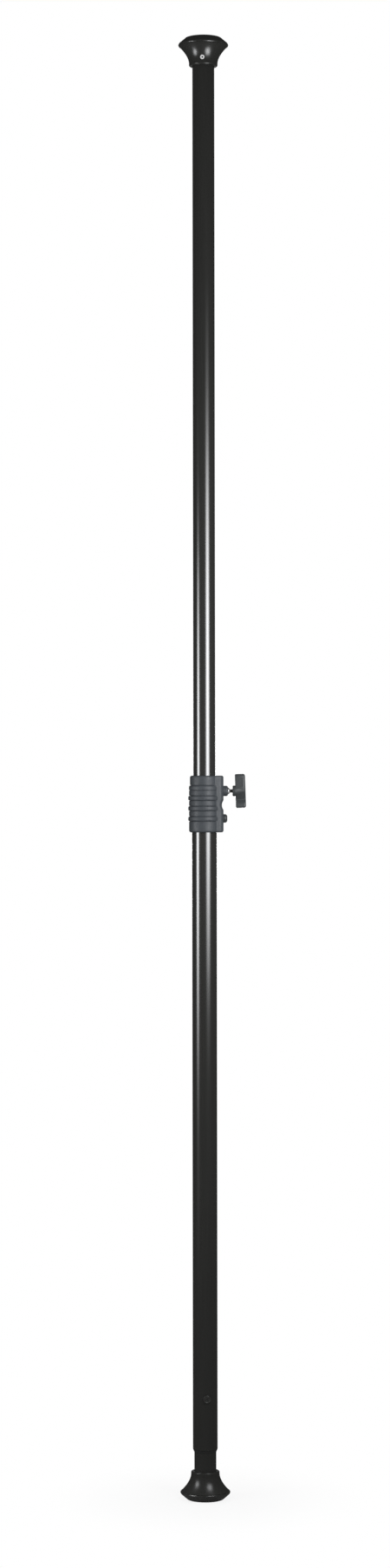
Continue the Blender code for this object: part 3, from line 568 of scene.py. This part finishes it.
def stacked(rings, closed):
    """A skin through rings with the same number of points each. An open stack gets flat caps."""
    bm = bmesh.new()
    rows = [[bm.verts.new(point) for point in ring] for ring in rings]
    count = len(rows[0])
    if closed:
        rows.append(rows[0])
    for low, high in zip(rows, rows[1:]):
        for index in range(count):
            after = (index + 1) % count
            bm.faces.new((low[index], low[after], high[after], high[index]))
    if not closed:
        bm.faces.new(rows[0])
        bm.faces.new(rows[-1])
    return bm


def tube(name, node, look, body):
    """A tube with softened ends in place of a packed one."""
    low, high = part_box(node)
    outer = high.x
    profile = softened([
        (outer - TUBE_WALL, low.z, TUBE_INNER_ROUND),
        (outer, low.z, TUBE_ROUND),
        (outer, low.z + TUBE_LAND, 0),
        (outer, high.z - TUBE_LAND, 0),
        (outer, high.z, TUBE_ROUND),
        (outer - TUBE_WALL, high.z, TUBE_INNER_ROUND),
    ])
    to_object(turned(profile, TUBE_SIDES), name, look, body, [node])


def flare_r(height):
    """The cup's outer radius between its boot and its neck."""
    share = (FLARE_END_H - height) / (FLARE_END_H - BOOT_H - GAP)
    return NECK_R + FLARE_WIDTH * max(0, share) ** FLARE_POWER


def boot_profile():
    """The rubber boot, with ring grooves in its face."""
    treads = []
    for radius in TREADS:
        half = TREAD_WIDTH / 2
        treads += [
            (radius - half, 0, TREAD_ROUND),
            (radius - half, TREAD_DEPTH, TREAD_ROUND),
            (radius + half, TREAD_DEPTH, TREAD_ROUND),
            (radius + half, 0, TREAD_ROUND),
        ]
    return softened([
        (0, 0, 0),
        *treads,
        (FACE_R, 0, FACE_ROUND),
        (BEVEL_R, BEVEL_H, BEVEL_ROUND),
        (RIM_R, RIM_H, RIM_ROUND),
        (LIP_R, BOOT_H, LIP_ROUND),
        (RIM_R - BOOT_WALL, BOOT_H, BOOT_EDGE_ROUND),
        (RIM_R - BOOT_WALL, BOOT_FLOOR, BOOT_FLOOR_ROUND),
        (0, BOOT_FLOOR, 0),
    ])


def cup_profile():
    """The bell-shaped cup over its boot, solid apart from the tube's socket."""
    base = BOOT_FLOOR + GAP
    flare_low = BOOT_H + GAP
    skirt_r = RIM_R - BOOT_WALL - SKIRT_ROOM
    flare = []
    for step in range(FLARE_STEPS + 1):
        height = flare_low + (FLARE_END_H - flare_low) * step / FLARE_STEPS
        flare.append((flare_r(height), height, 0))
    socket_r = UPPER_R + GAP
    return softened([
        (0, base, 0),
        (skirt_r, base, BOOT_FLOOR_ROUND),
        (skirt_r, flare_low, 0),
        *flare,
        (NECK_R, CUP_H, NECK_ROUND),
        (socket_r, CUP_H, 0),
        (socket_r, CUP_H - SOCKET_DEPTH, 0),
        (0, CUP_H - SOCKET_DEPTH, 0),
    ])


def end_pieces(looks):
    """Boot and cup at the floor, and the same pair turned over at the ceiling."""
    turn_over = Matrix.Translation((0, 0, POLE_TOP)) @ Matrix.Rotation(math.pi, 4, "X")
    for place, body, side, boot, cup, look in (
            (Matrix.Identity(4), "foot", "floor", "floor_pad", "bottom_cup", "worn_cup"),
            (turn_over, "mast_upper", "ceiling", "ceiling_pad", "top_cup", "cup")):
        to_object(turned(boot_profile(), CUP_SIDES), f"{side}_boot", looks["rubber"], body,
                  [boot], place)
        to_object(turned(cup_profile(), CUP_SIDES), f"{side}_bell", looks[look], body,
                  [cup], place)


def index_ring(looks):
    """A plain printed ring on the upper cup's flare."""
    def point(angle, radius, lift):
        x = MARK_X + radius * math.cos(angle)
        height = MARK_H + radius * math.sin(angle)
        surface = flare_r(height) + lift
        return (x, -math.sqrt(surface ** 2 - x ** 2), POLE_TOP - height)
    angles = [2 * math.pi * step / MARK_STEPS for step in range(MARK_STEPS)]
    middle = (MARK_OUT_R + MARK_IN_R) / 2
    rings = []
    for radius, lift in ((MARK_IN_R, -GAP), (MARK_IN_R, MARK_THICK), (middle, MARK_THICK),
                         (MARK_OUT_R, MARK_THICK), (MARK_OUT_R, -GAP), (middle, -GAP)):
        rings.append([point(angle, radius, lift) for angle in angles])
    to_object(stacked(rings, closed=True), "index_ring", looks["mark"], "mast_upper")


def smooth_max(a, b, blend):
    """The larger of two lengths, with a fillet of about that size where they meet."""
    share = max(0, min(1, 0.5 + (a - b) / (2 * blend)))
    return b + (a - b) * share + blend * share * (1 - share)


def end_inset(height):
    """How far the collar's rounded ends lie inside its side at this height."""
    near = min(height, COLLAR_H - height)
    if near >= END_ROUND:
        return 0
    return END_ROUND - math.sqrt(END_ROUND ** 2 - (END_ROUND - near) ** 2)


def body_r(height):
    """Radius of the collar's round side: grip ribs, fine grooves along them, and a slimmer upper end."""
    radius = BODY_R - (CUFF_STEP if height > CUFF_C else 0)
    for rib in range(RIB_COUNT):
        crest = BODY_R + (CUFF_RIB_RISE if rib == RIB_COUNT - 1 else RIB_RISE)
        away = abs(height - FIRST_RIB_C - rib * RIB_PITCH) / (RIB_WIDTH / 2)
        if away < 1:
            radius += (crest - radius) * (1 - away ** RIB_FLATNESS) ** (1 / RIB_FLATNESS)
        groove = ((away - 1) * RIB_WIDTH / 2 - GROOVE_WIDTH / 2) / (GROOVE_WIDTH / 2)
        radius -= GROOVE_DEPTH * math.sqrt(max(0, 1 - groove ** 2))
    return radius


def lug_reach(height):
    """Distance of the lug's face from the axis, drawn in by the finger scallop."""
    half = SCALLOP_H / 2
    curve_r = (half ** 2 + SCALLOP_DEPTH ** 2) / (2 * SCALLOP_DEPTH)
    away = abs(height - SCALLOP_C)
    if away >= curve_r:
        return LUG_X
    dish = SCALLOP_DEPTH - curve_r + math.sqrt(curve_r ** 2 - away ** 2)
    return LUG_X - smooth_max(dish, 0, SCALLOP_BLEND) if away < half * SCALLOP_REACH else LUG_X


def lug_r(angle, height):
    """Distance from the axis to the lug's rounded outline in the direction of the angle."""
    reach = lug_reach(height)
    side = abs(math.sin(angle))
    front = math.cos(angle)
    if front <= 0:
        return 0
    slope = math.tan(LUG_SLANT)
    middle_x = reach - LUG_CORNER
    middle_y = LUG_ROOT_HALF - (middle_x - LUG_ROOT_X) * slope - LUG_CORNER / math.cos(LUG_SLANT)
    flat = reach / front
    if flat * side <= middle_y:
        return flat
    flank = (LUG_ROOT_HALF + LUG_ROOT_X * slope) / (side + slope * front)
    if flank * front <= middle_x + LUG_CORNER * math.sin(LUG_SLANT):
        return flank
    along = middle_x * front + middle_y * side
    return along + math.sqrt(max(0, along ** 2 - middle_x ** 2 - middle_y ** 2 + LUG_CORNER ** 2))


def collar_angles():
    """Directions round the axis, closer together across the lug."""
    lug = [LUG_SPAN * (2 * step / LUG_COLUMNS - 1) for step in range(LUG_COLUMNS)]
    rest = 2 * math.pi - 2 * LUG_SPAN
    return lug + [LUG_SPAN + rest * step / BACK_COLUMNS for step in range(BACK_COLUMNS)]


def collar_side_r(angle, height):
    """The collar's outer side: the larger of its round side and its lug, less the rounding of its ends."""
    return smooth_max(body_r(height), lug_r(angle, height), LUG_BLEND) - end_inset(height)


def collar_heights():
    """Mesh rows up the collar, closer together round its ends and at the edges of its ribs."""
    rows = round(COLLAR_H / COLLAR_ROW)
    heights = [COLLAR_H * row / rows for row in range(rows + 1)]
    for rib in range(RIB_COUNT):
        middle = FIRST_RIB_C + rib * RIB_PITCH
        heights = [h for h in heights if abs(abs(h - middle) - RIB_WIDTH / 2) > RIB_CLEAR]
        for offset in RIB_ROWS:
            heights += [middle - RIB_WIDTH / 2 + offset, middle + RIB_WIDTH / 2 - offset]
    side = [h for h in heights if END_ROUND < h < COLLAR_H - END_ROUND]
    ends = [END_ROUND * (1 - math.cos(math.pi / 2 * step / END_STEPS)) for step in range(END_STEPS)]
    return sorted(ends + side + [COLLAR_H - end for end in ends])


def collar_rings():
    """Outer side from the bottom up, then the upper end, the bore and the lower end."""
    angles = collar_angles()
    rings = []
    for height in collar_heights():
        radii = [collar_side_r(angle, height) for angle in angles]
        rings.append([(r * math.cos(a), r * math.sin(a), COLLAR_Z + height) for r, a in zip(radii, angles)])
    seat = LOWER_R + GAP
    bore = UPPER_R + BORE_ROOM
    inner = [
        (bore + BORE_CHAMFER, COLLAR_H),
        (bore, COLLAR_H - BORE_CHAMFER),
        (bore, SEAT_C),
        (seat, SEAT_C),
        (seat, BORE_CHAMFER),
        (seat + BORE_CHAMFER, 0),
    ]
    for radius, height in inner:
        rings.append([(radius * math.cos(a), radius * math.sin(a), COLLAR_Z + height) for a in angles])
    return rings


def along_x(profile, sides, height):
    """A turned solid about the screw's axis or the button's. The profile holds (radius, x) points."""
    bm = turned(profile, sides)
    bm.transform(Matrix.Translation((0, 0, height)) @ ALONG_X)
    return bm


def collar(looks):
    """The ribbed shell with its screw boss and the holes for the insert and the button."""
    piece = to_object(stacked(collar_rings(), closed=True), "collar_shell", looks["collar"], "mast_lower",
                      ["collar_housing"])
    boss = softened([
        (0, LUG_X - BOSS_SUNK, 0),
        (BOSS_R + BOSS_ROOT, LUG_X - BOSS_SUNK, 0),
        (BOSS_R + BOSS_ROOT, LUG_X - BOSS_FOOT_H / 2, 0),
        (BOSS_R, LUG_X + BOSS_FOOT_H / 2, BOSS_ROOT),
        (BOSS_R, BOSS_X, BOSS_ROUND),
        (0, BOSS_X, 0),
    ], steps=8)
    cut_with(piece, along_x(boss, SMALL_SIDES, CLAMP_Z), "UNION")
    hole = [
        (0, INSERT_HOLE_X),
        (INSERT_HOLE_R, INSERT_HOLE_X),
        (INSERT_HOLE_R, HUB_X),
        (0, HUB_X),
    ]
    cut_with(piece, along_x(hole, SMALL_SIDES, CLAMP_Z))
    room = BUTTON_R + GAP
    hole = softened([
        (0, LUG_X - BUTTON_HOLE, 0),
        (room, LUG_X - BUTTON_HOLE, 0),
        (room, LUG_X - BUTTON_CHAMFER, 0),
        (room + BUTTON_CHAMFER + CUT_OVER, LUG_X + CUT_OVER, 0),
        (0, LUG_X + CUT_OVER, 0),
    ])
    cut_with(piece, along_x(hole, SMALL_SIDES, BUTTON_Z))


def insert(looks):
    """The clamp screw's bright threaded insert, whose cone stands out of the boss."""
    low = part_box("screw_insert")[0].x
    bore = STUD_R + GAP / 2
    shares = [step / NOSE_STEPS for step in range(NOSE_STEPS + 1)]
    nose = [(NOSE_R - (NOSE_R - NOSE_TIP_R) * share ** NOSE_POWER, BOSS_X + GAP + NOSE_H * share, 0)
            for share in shares]
    profile = softened([
        (bore, low, 0),
        (INSERT_HOLE_R - GAP, low, 0),
        (INSERT_HOLE_R - GAP, BOSS_X + GAP, 0),
        *nose,
        (bore, BOSS_X + GAP + NOSE_H, 0),
    ])
    to_object(along_x(profile, SMALL_SIDES, CLAMP_Z), "screw_nose", looks["bright"], "mast_lower",
              ["screw_insert"])


def stud(looks):
    """The clamp screw with its thread."""
    low_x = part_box("knob_stud")[0].x
    row_x = THREAD_PITCH / THREAD_ROWS
    rings = []
    for row in range(round((HUB_X + STUD_IN_HUB - low_x) / row_x) + 1):
        x = low_x + row_x * row
        ring = []
        for step in range(STUD_SIDES):
            angle = 2 * math.pi * step / STUD_SIDES
            phase = (x / THREAD_PITCH + step / STUD_SIDES) % 1
            radius = STUD_R - THREAD_DEPTH * abs(2 * phase - 1)
            ring.append((x, radius * math.cos(angle), CLAMP_Z + radius * math.sin(angle)))
        rings.append(ring)
    to_object(stacked(rings, closed=False), "clamp_stud", looks["black_steel"], "clamp_knob",
              ["knob_stud"])


def spline_loop(points, per_span):
    """A closed Catmull-Rom curve through the points."""
    count = len(points)
    curve = []
    for index in range(count):
        p0, p1, p2, p3 = (Vector(points[(index + shift) % count]) for shift in (-1, 0, 1, 2))
        for step in range(per_span):
            t = step / per_span
            curve.append(0.5 * ((2 * p1) + (p2 - p0) * t + (2 * p0 - 5 * p1 + 4 * p2 - p3) * t ** 2
                                + (3 * p1 - p0 - 3 * p2 + p3) * t ** 3))
    return curve


def bar_slices():
    """Places across the bar from its back to its face, and how far its outline is drawn in at each."""
    bends = [math.pi / 2 * step / BAR_ROUND_STEPS for step in range(BAR_ROUND_STEPS + 1)]
    back = [(BAR_X + BAR_ROUND * (1 - math.cos(bend)), BAR_ROUND * (1 - math.sin(bend))) for bend in bends]
    face = [(BAR_X + BAR_WIDTH - BAR_FACE_ROUND * (1 - math.sin(bend)), BAR_FACE_ROUND * (1 - math.cos(bend)))
            for bend in bends]
    return back + face


def bar():
    """The T-bar with its S-shaped wings, leaning as in the photograph."""
    wing = [(across * BAR_DEPTH / 2, up * BAR_SPAN / 2) for across, up in WING]
    outline = spline_loop(wing + [(-across, -up) for across, up in wing], OUTLINE_STEPS)
    rings = []
    for x, inset in bar_slices():
        across = 1 - inset / (BAR_DEPTH / 2)
        up = 1 - inset / (BAR_SPAN / 2)
        rings.append([(x, point.x * across, point.y * up) for point in outline])
    bm = stacked(rings, closed=False)
    middle = Vector((BAR_MIDDLE_X, 0, 0))
    lean = Matrix.Translation(middle) @ Matrix.Rotation(BAR_LEAN, 4, "Y") @ Matrix.Translation(-middle)
    bm.transform(Matrix.Translation((0, 0, CLAMP_Z)) @ lean)
    return bm


def sink_panels(piece):
    """Cuts a sunk thumb panel into each side of the bar."""
    half = PANEL_WIDTH / 2
    panel = [(BAR_MIDDLE_X - half, PANEL_HIGH)]
    for step in range(PANEL_STEPS + 1):
        angle = math.pi * (1 + step / PANEL_STEPS)
        panel.append((BAR_MIDDLE_X + half * math.cos(angle), PANEL_LOW + half * (1 + math.sin(angle))))
    panel.append((BAR_MIDDLE_X + half, PANEL_HIGH))
    for side in (-1, 1):
        sunk = side * (BAR_DEPTH / 2 - PANEL_DEPTH)
        rings = [[(x, y, CLAMP_Z - side * up) for x, up in panel] for y in (sunk, side * BAR_DEPTH)]
        cut_with(piece, stacked(rings, closed=False))


def knob(looks):
    """The T-bar with its round hub and its thumb panels."""
    piece = to_object(bar(), "clamp_knob_bar", looks["knob"], "clamp_knob", ["t_knob"])
    hub = softened([
        (0, HUB_X, 0),
        (HUB_R, HUB_X, HUB_ROUND),
        (HUB_R, BAR_X + HUB_IN_BAR, 0),
        (HUB_R - HUB_TAPER, BAR_MIDDLE_X, 0),
        (0, BAR_MIDDLE_X, 0),
    ])
    cut_with(piece, along_x(hub, SMALL_SIDES, CLAMP_Z), "UNION")
    sink_panels(piece)


def button(looks):
    """The push button with its dished face."""
    shoulder = []
    for step in range(BUTTON_ROUND_STEPS + 1):
        bend = math.pi / 2 * step / BUTTON_ROUND_STEPS
        shoulder.append((BUTTON_R - BUTTON_ROUND * (1 - math.cos(bend)),
                         BUTTON_X - BUTTON_ROUND * (1 - math.sin(bend))))
    face = [
        (0, LUG_X - BUTTON_DEPTH),
        (BUTTON_R, LUG_X - BUTTON_DEPTH),
        *shoulder,
        (BUTTON_R - BUTTON_ROUND - BUTTON_DISH_EDGE, BUTTON_X - BUTTON_DISH),
        (0, BUTTON_X - BUTTON_DISH),
    ]
    to_object(along_x(face, SMALL_SIDES, BUTTON_Z), "push_button", looks["knob"], "button",
              ["release_button"])


def guide_screw(looks):
    """The round head with a hexagon socket near the pole's foot."""
    seat = LOWER_R + GAP
    top = seat + GUIDE_HEAD_H
    profile = softened([
        (0, GUIDE_END, 0),
        (GUIDE_SHANK_R, GUIDE_END, 0),
        (GUIDE_SHANK_R, seat, 0),
        (GUIDE_HEAD_R, seat, 0),
        (GUIDE_HEAD_R, top, GUIDE_RIM / 2),
        (GUIDE_HEAD_R - GUIDE_RIM, top, GUIDE_RIM / 2),
        (GUIDE_HEAD_R - GUIDE_RIM_FOOT * GUIDE_RIM, top - GUIDE_SINK, GUIDE_SINK_ROUND),
        (HEX_R, top - GUIDE_SINK / 2, HEX_ROUND),
        (0, top - GUIDE_SINK / 2, 0),
    ])
    place = (Matrix.Translation((0, 0, GUIDE_Z)) @ Matrix.Rotation(GUIDE_TURN, 4, "Z")
             @ Matrix.Rotation(math.pi / 2, 4, "X"))
    piece = to_object(turned(profile, SMALL_SIDES), "guide_screw_head", looks["black_steel"], "mast_lower",
                      ["guide_screw"], place)
    socket = bmesh.new()
    bmesh.ops.create_cone(socket, cap_ends=True, segments=6, radius1=HEX_R, radius2=HEX_R,
                          depth=2 * HEX_DEPTH)
    socket.transform(place @ Matrix.Translation((0, 0, top)))
    cut_with(piece, socket)


def coil(mean_r, wire_r, length, turns):
    """A closed-ended spring that stands on the XY plane."""
    rings = []
    rise = length - 2 * wire_r
    closed_rise = CLOSED_TURNS * 2 * wire_r
    for step in range(turns * COIL_STEPS + 1):
        turn = step / COIL_STEPS
        share = (turn - CLOSED_TURNS) / (turns - 2 * CLOSED_TURNS)
        if share < 0:
            height = turn * 2 * wire_r
        elif share > 1:
            height = rise - (turns - turn) * 2 * wire_r
        else:
            height = closed_rise + (rise - 2 * closed_rise) * share
        ring = []
        for side in range(WIRE_SIDES):
            round_wire = 2 * math.pi * side / WIRE_SIDES
            r = mean_r + wire_r * math.cos(round_wire)
            up = wire_r + height + wire_r * math.sin(round_wire)
            ring.append((r * math.cos(2 * math.pi * turn), r * math.sin(2 * math.pi * turn), up))
        rings.append(ring)
    return stacked(rings, closed=False)


def springs(looks):
    """The foot's spring and the lever's, which shorten as their joints move."""
    low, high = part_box("foot_spring")
    length = high.z - low.z
    bm = coil(high.x - FOOT_WIRE_R, FOOT_WIRE_R, length, FOOT_TURNS)
    place = Matrix.Translation((0, 0, low.z))
    piece = to_object(bm, "foot_coil", looks["steel"], "mast_lower", ["foot_spring"], place)
    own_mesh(piece)
    low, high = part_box("lock_spring")
    length = high.x - low.x
    middle_z = (low.z + high.z) / 2
    bm = coil(high.y - LOCK_WIRE_R, LOCK_WIRE_R, length, LOCK_TURNS)
    place = Matrix.Translation((low.x, 0, middle_z)) @ ALONG_X
    piece = to_object(bm, "lock_coil", looks["steel"], "mast_lower", ["lock_spring"], place)
    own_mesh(piece)


def fill_ramp(ramp, profile):
    """Grey stops of a colour ramp from (position, value) pairs that run from 0 to 1."""
    ramp.color_ramp.interpolation = "CARDINAL"
    stops = ramp.color_ramp.elements
    for position, _ in profile[1:-1]:
        stops.new(position)
    for stop, (_, value) in zip(stops, profile):
        stop.color = (value, value, value, 1)


def softbox(name, azimuth, away, width, power, profile):
    """A tall lamp that fades towards its sides.

    Azimuth is in degrees right of the camera, and the profile's stops hold height and brightness.
    """
    low, high = profile[0][0], profile[-1][0]
    data = bpy.data.lights.new(name, "AREA")
    data.shape = "RECTANGLE"
    data.size = width
    data.size_y = high - low
    data.energy = power
    data.color = LAMP_COLOUR
    data.use_nodes = True
    tree = data.node_tree
    place = add_node(tree, "NewGeometry")
    split = add_node(tree, "SeparateXYZ")
    up = add_node(tree, "ValToRGB")
    across = add_node(tree, "ValToRGB")
    both = add_math(tree, "MULTIPLY")
    fill_ramp(up, [((height - low) / (high - low), value) for height, value in profile])
    shares = [stop / SIDE_STOPS for stop in range(SIDE_STOPS + 1)]
    fill_ramp(across, [(share, abs(math.sin(math.pi * share)) ** SIDE_POWER) for share in shares])
    link_all(tree, (
        (place.outputs["Parametric"], split.inputs["Vector"]),
        (split.outputs["Y"], up.inputs["Fac"]),
        (split.outputs["X"], across.inputs["Fac"]),
        (up.outputs["Color"], both.inputs[0]),
        (across.outputs["Color"], both.inputs[1]),
        (both.outputs["Value"], tree.nodes["Emission"].inputs["Strength"]),
    ))
    lamp = bpy.data.objects.new(name, data)
    bpy.context.scene.collection.objects.link(lamp)
    angle = math.radians(azimuth)
    lamp.location = (away * math.sin(angle), -away * math.cos(angle), (low + high) / 2)
    lamp.rotation_euler = (math.pi / 2, 0, angle)
    lamp.visible_camera = False


def world_white():
    """White backdrop. Gloss sees it only behind the pole, and a dim room with the lamps elsewhere."""
    world = bpy.data.worlds.new("studio")
    bpy.context.scene.world = world
    world.use_nodes = True
    tree = world.node_tree
    tree.nodes.clear()

    path = add_node(tree, "LightPath")
    direction = add_node(tree, "TexCoord")
    split = add_node(tree, "SeparateXYZ")
    behind = add_node(tree, "MapRange", From_Min=BEHIND[0], From_Max=BEHIND[1])
    steep = add_math(tree, "ABSOLUTE")
    level = add_node(tree, "MapRange", From_Min=STEEP[0], From_Max=STEEP[1], To_Min=1, To_Max=0)
    both = add_math(tree, "MULTIPLY")
    front = add_node(tree, "MapRange", From_Min=-1, From_Max=1, To_Min=FILL_FRONT, To_Max=FILL_BACK)
    white = add_node(tree, "Background", Color=WHITE, Strength=1)
    fill = add_node(tree, "Background", Color=WHITE)
    dim = add_node(tree, "Background", Color=WHITE, Strength=ROOM)
    reflected = add_node(tree, "MixShader")
    lit = add_node(tree, "MixShader")
    shown = add_node(tree, "MixShader")
    plain = add_math(tree, "MAXIMUM")
    out = add_node(tree, "OutputWorld")
    link_all(tree, (
        (direction.outputs["Generated"], split.inputs["Vector"]),
        (split.outputs["Y"], behind.inputs["Value"]),
        (split.outputs["Y"], front.inputs["Value"]),
        (front.outputs["Result"], fill.inputs["Strength"]),
        (split.outputs["Z"], steep.inputs[0]),
        (steep.outputs["Value"], level.inputs["Value"]),
        (behind.outputs["Result"], both.inputs[0]),
        (level.outputs["Result"], both.inputs[1]),
        (both.outputs["Value"], reflected.inputs["Fac"]),
        (dim.outputs["Background"], reflected.inputs[1]),
        (white.outputs["Background"], reflected.inputs[2]),
        (path.outputs["Is Glossy Ray"], lit.inputs["Fac"]),
        (fill.outputs["Background"], lit.inputs[1]),
        (reflected.outputs["Shader"], lit.inputs[2]),
        (path.outputs["Is Camera Ray"], plain.inputs[0]),
        (path.outputs["Is Transmission Ray"], plain.inputs[1]),
        (plain.outputs["Value"], shown.inputs["Fac"]),
        (lit.outputs["Shader"], shown.inputs[1]),
        (white.outputs["Background"], shown.inputs[2]),
        (shown.outputs["Shader"], out.inputs["Surface"]),
    ))


def floor_pale():
    """A pale floor that keeps the foot's shadow and thins out into the white backdrop."""
    made = bpy.data.materials.new("floor_pale")
    made.use_nodes = True
    tree = made.node_tree
    tree.nodes.clear()
    place = add_node(tree, "TexCoord")
    length = add_node(tree, "VectorMath")
    length.operation = "LENGTH"
    cover = add_node(tree, "MapRange", From_Min=FLOOR_INNER_R, From_Max=FLOOR_R, To_Min=FLOOR_COVER, To_Max=0)
    cover.interpolation_type = "SMOOTHSTEP"
    clear = add_node(tree, "BsdfTransparent")
    matte = add_node(tree, "BsdfDiffuse", Color=FLOOR_COLOUR)
    mix = add_node(tree, "MixShader")
    out = add_node(tree, "OutputMaterial")
    link_all(tree, (
        (place.outputs["Object"], length.inputs[0]),
        (length.outputs["Value"], cover.inputs["Value"]),
        (cover.outputs["Result"], mix.inputs["Fac"]),
        (clear.outputs["BSDF"], mix.inputs[1]),
        (matte.outputs["BSDF"], mix.inputs[2]),
        (mix.outputs["Shader"], out.inputs["Surface"]),
    ))
    return made


def camera():
    """The photograph's view."""
    data = bpy.data.cameras.new("camera")
    data.sensor_fit = "VERTICAL"
    data.sensor_height = SENSOR
    data.lens = LENS
    data.clip_end = FAR
    made = bpy.data.objects.new("camera", data)
    bpy.context.scene.collection.objects.link(made)
    made.matrix_world = (Matrix.Translation(EYE) @ Matrix.Rotation(math.pi / 2, 4, "X")
                         @ Matrix.Rotation(ROLL, 4, "Z"))
    bpy.context.scene.camera = made


def studio():
    """White backdrop, pale floor, two tall softboxes and a weak one behind."""
    scene = bpy.context.scene
    scene.view_settings.view_transform = "Standard"
    world_white()
    floor_bm = bmesh.new()
    bmesh.ops.create_circle(floor_bm, cap_ends=True, segments=FLOOR_SIDES, radius=FLOOR_R)
    floor_mesh = bpy.data.meshes.new("studio_floor")
    floor_bm.to_mesh(floor_mesh)
    floor_bm.free()
    floor = bpy.data.objects.new("studio_floor", floor_mesh)
    scene.collection.objects.link(floor)
    floor_mesh.materials.append(floor_pale())
    softbox("softbox_right", RIGHT_TURN, RIGHT_AWAY, RIGHT_WIDTH, RIGHT_POWER, RIGHT_PROFILE)
    softbox("softbox_left", LEFT_TURN, LEFT_AWAY, LEFT_WIDTH, LEFT_POWER, LEFT_PROFILE)
    softbox("softbox_back", 180, BACK_AWAY, BACK_WIDTH, BACK_POWER, BACK_PROFILE)


def dress_nodes(looks):
    """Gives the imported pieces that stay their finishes."""
    for look, names in (
            ("steel", ("foot_screw", "top_screw", "foot_washer", "top_washer", "collar_set_screw",
                       "lever_pin", "lock_lever")),
            ("nylon", ("plunger_sleeve", "glide_ring", "glide_plug", "foot_plug", "top_plug",
                       "spring_stop", "collar_bush", "brake_shoe"))):
        for name in names:
            data = nodes[name].data
            data.materials.clear()
            data.materials.append(looks[look])


def main():
    looks = {
        "tube": tube_black(),
        "cup": cup_black("cup_black", 0.6),
        "worn_cup": cup_black("worn_cup_black", 0.0),
        "rubber": rubber_black(),
        "collar": grained_plastic("collar_grey", srgb(67, 71, 75), 0.49, 0.00001),
        "knob": grained_plastic("knob_grey", srgb(62, 65, 66), 0.4, 0.00001),
        "steel": metal("steel", srgb(150, 150, 150), 0.3),
        "bright": metal("bright_metal", srgb(250, 250, 250), 0.55),
        "black_steel": black_steel(),
        "nylon": nylon_black(),
        "mark": mark_white(),
    }
    studio()
    camera()
    tube("outer_mast", "lower_tube", looks["tube"], "mast_lower")
    tube("inner_mast", "upper_tube", looks["tube"], "mast_upper")
    tube("foot_stub", "foot_plunger", looks["tube"], "foot")
    end_pieces(looks)
    index_ring(looks)
    collar(looks)
    insert(looks)
    stud(looks)
    knob(looks)
    button(looks)
    guide_screw(looks)
    springs(looks)
    dress_nodes(looks)


main()
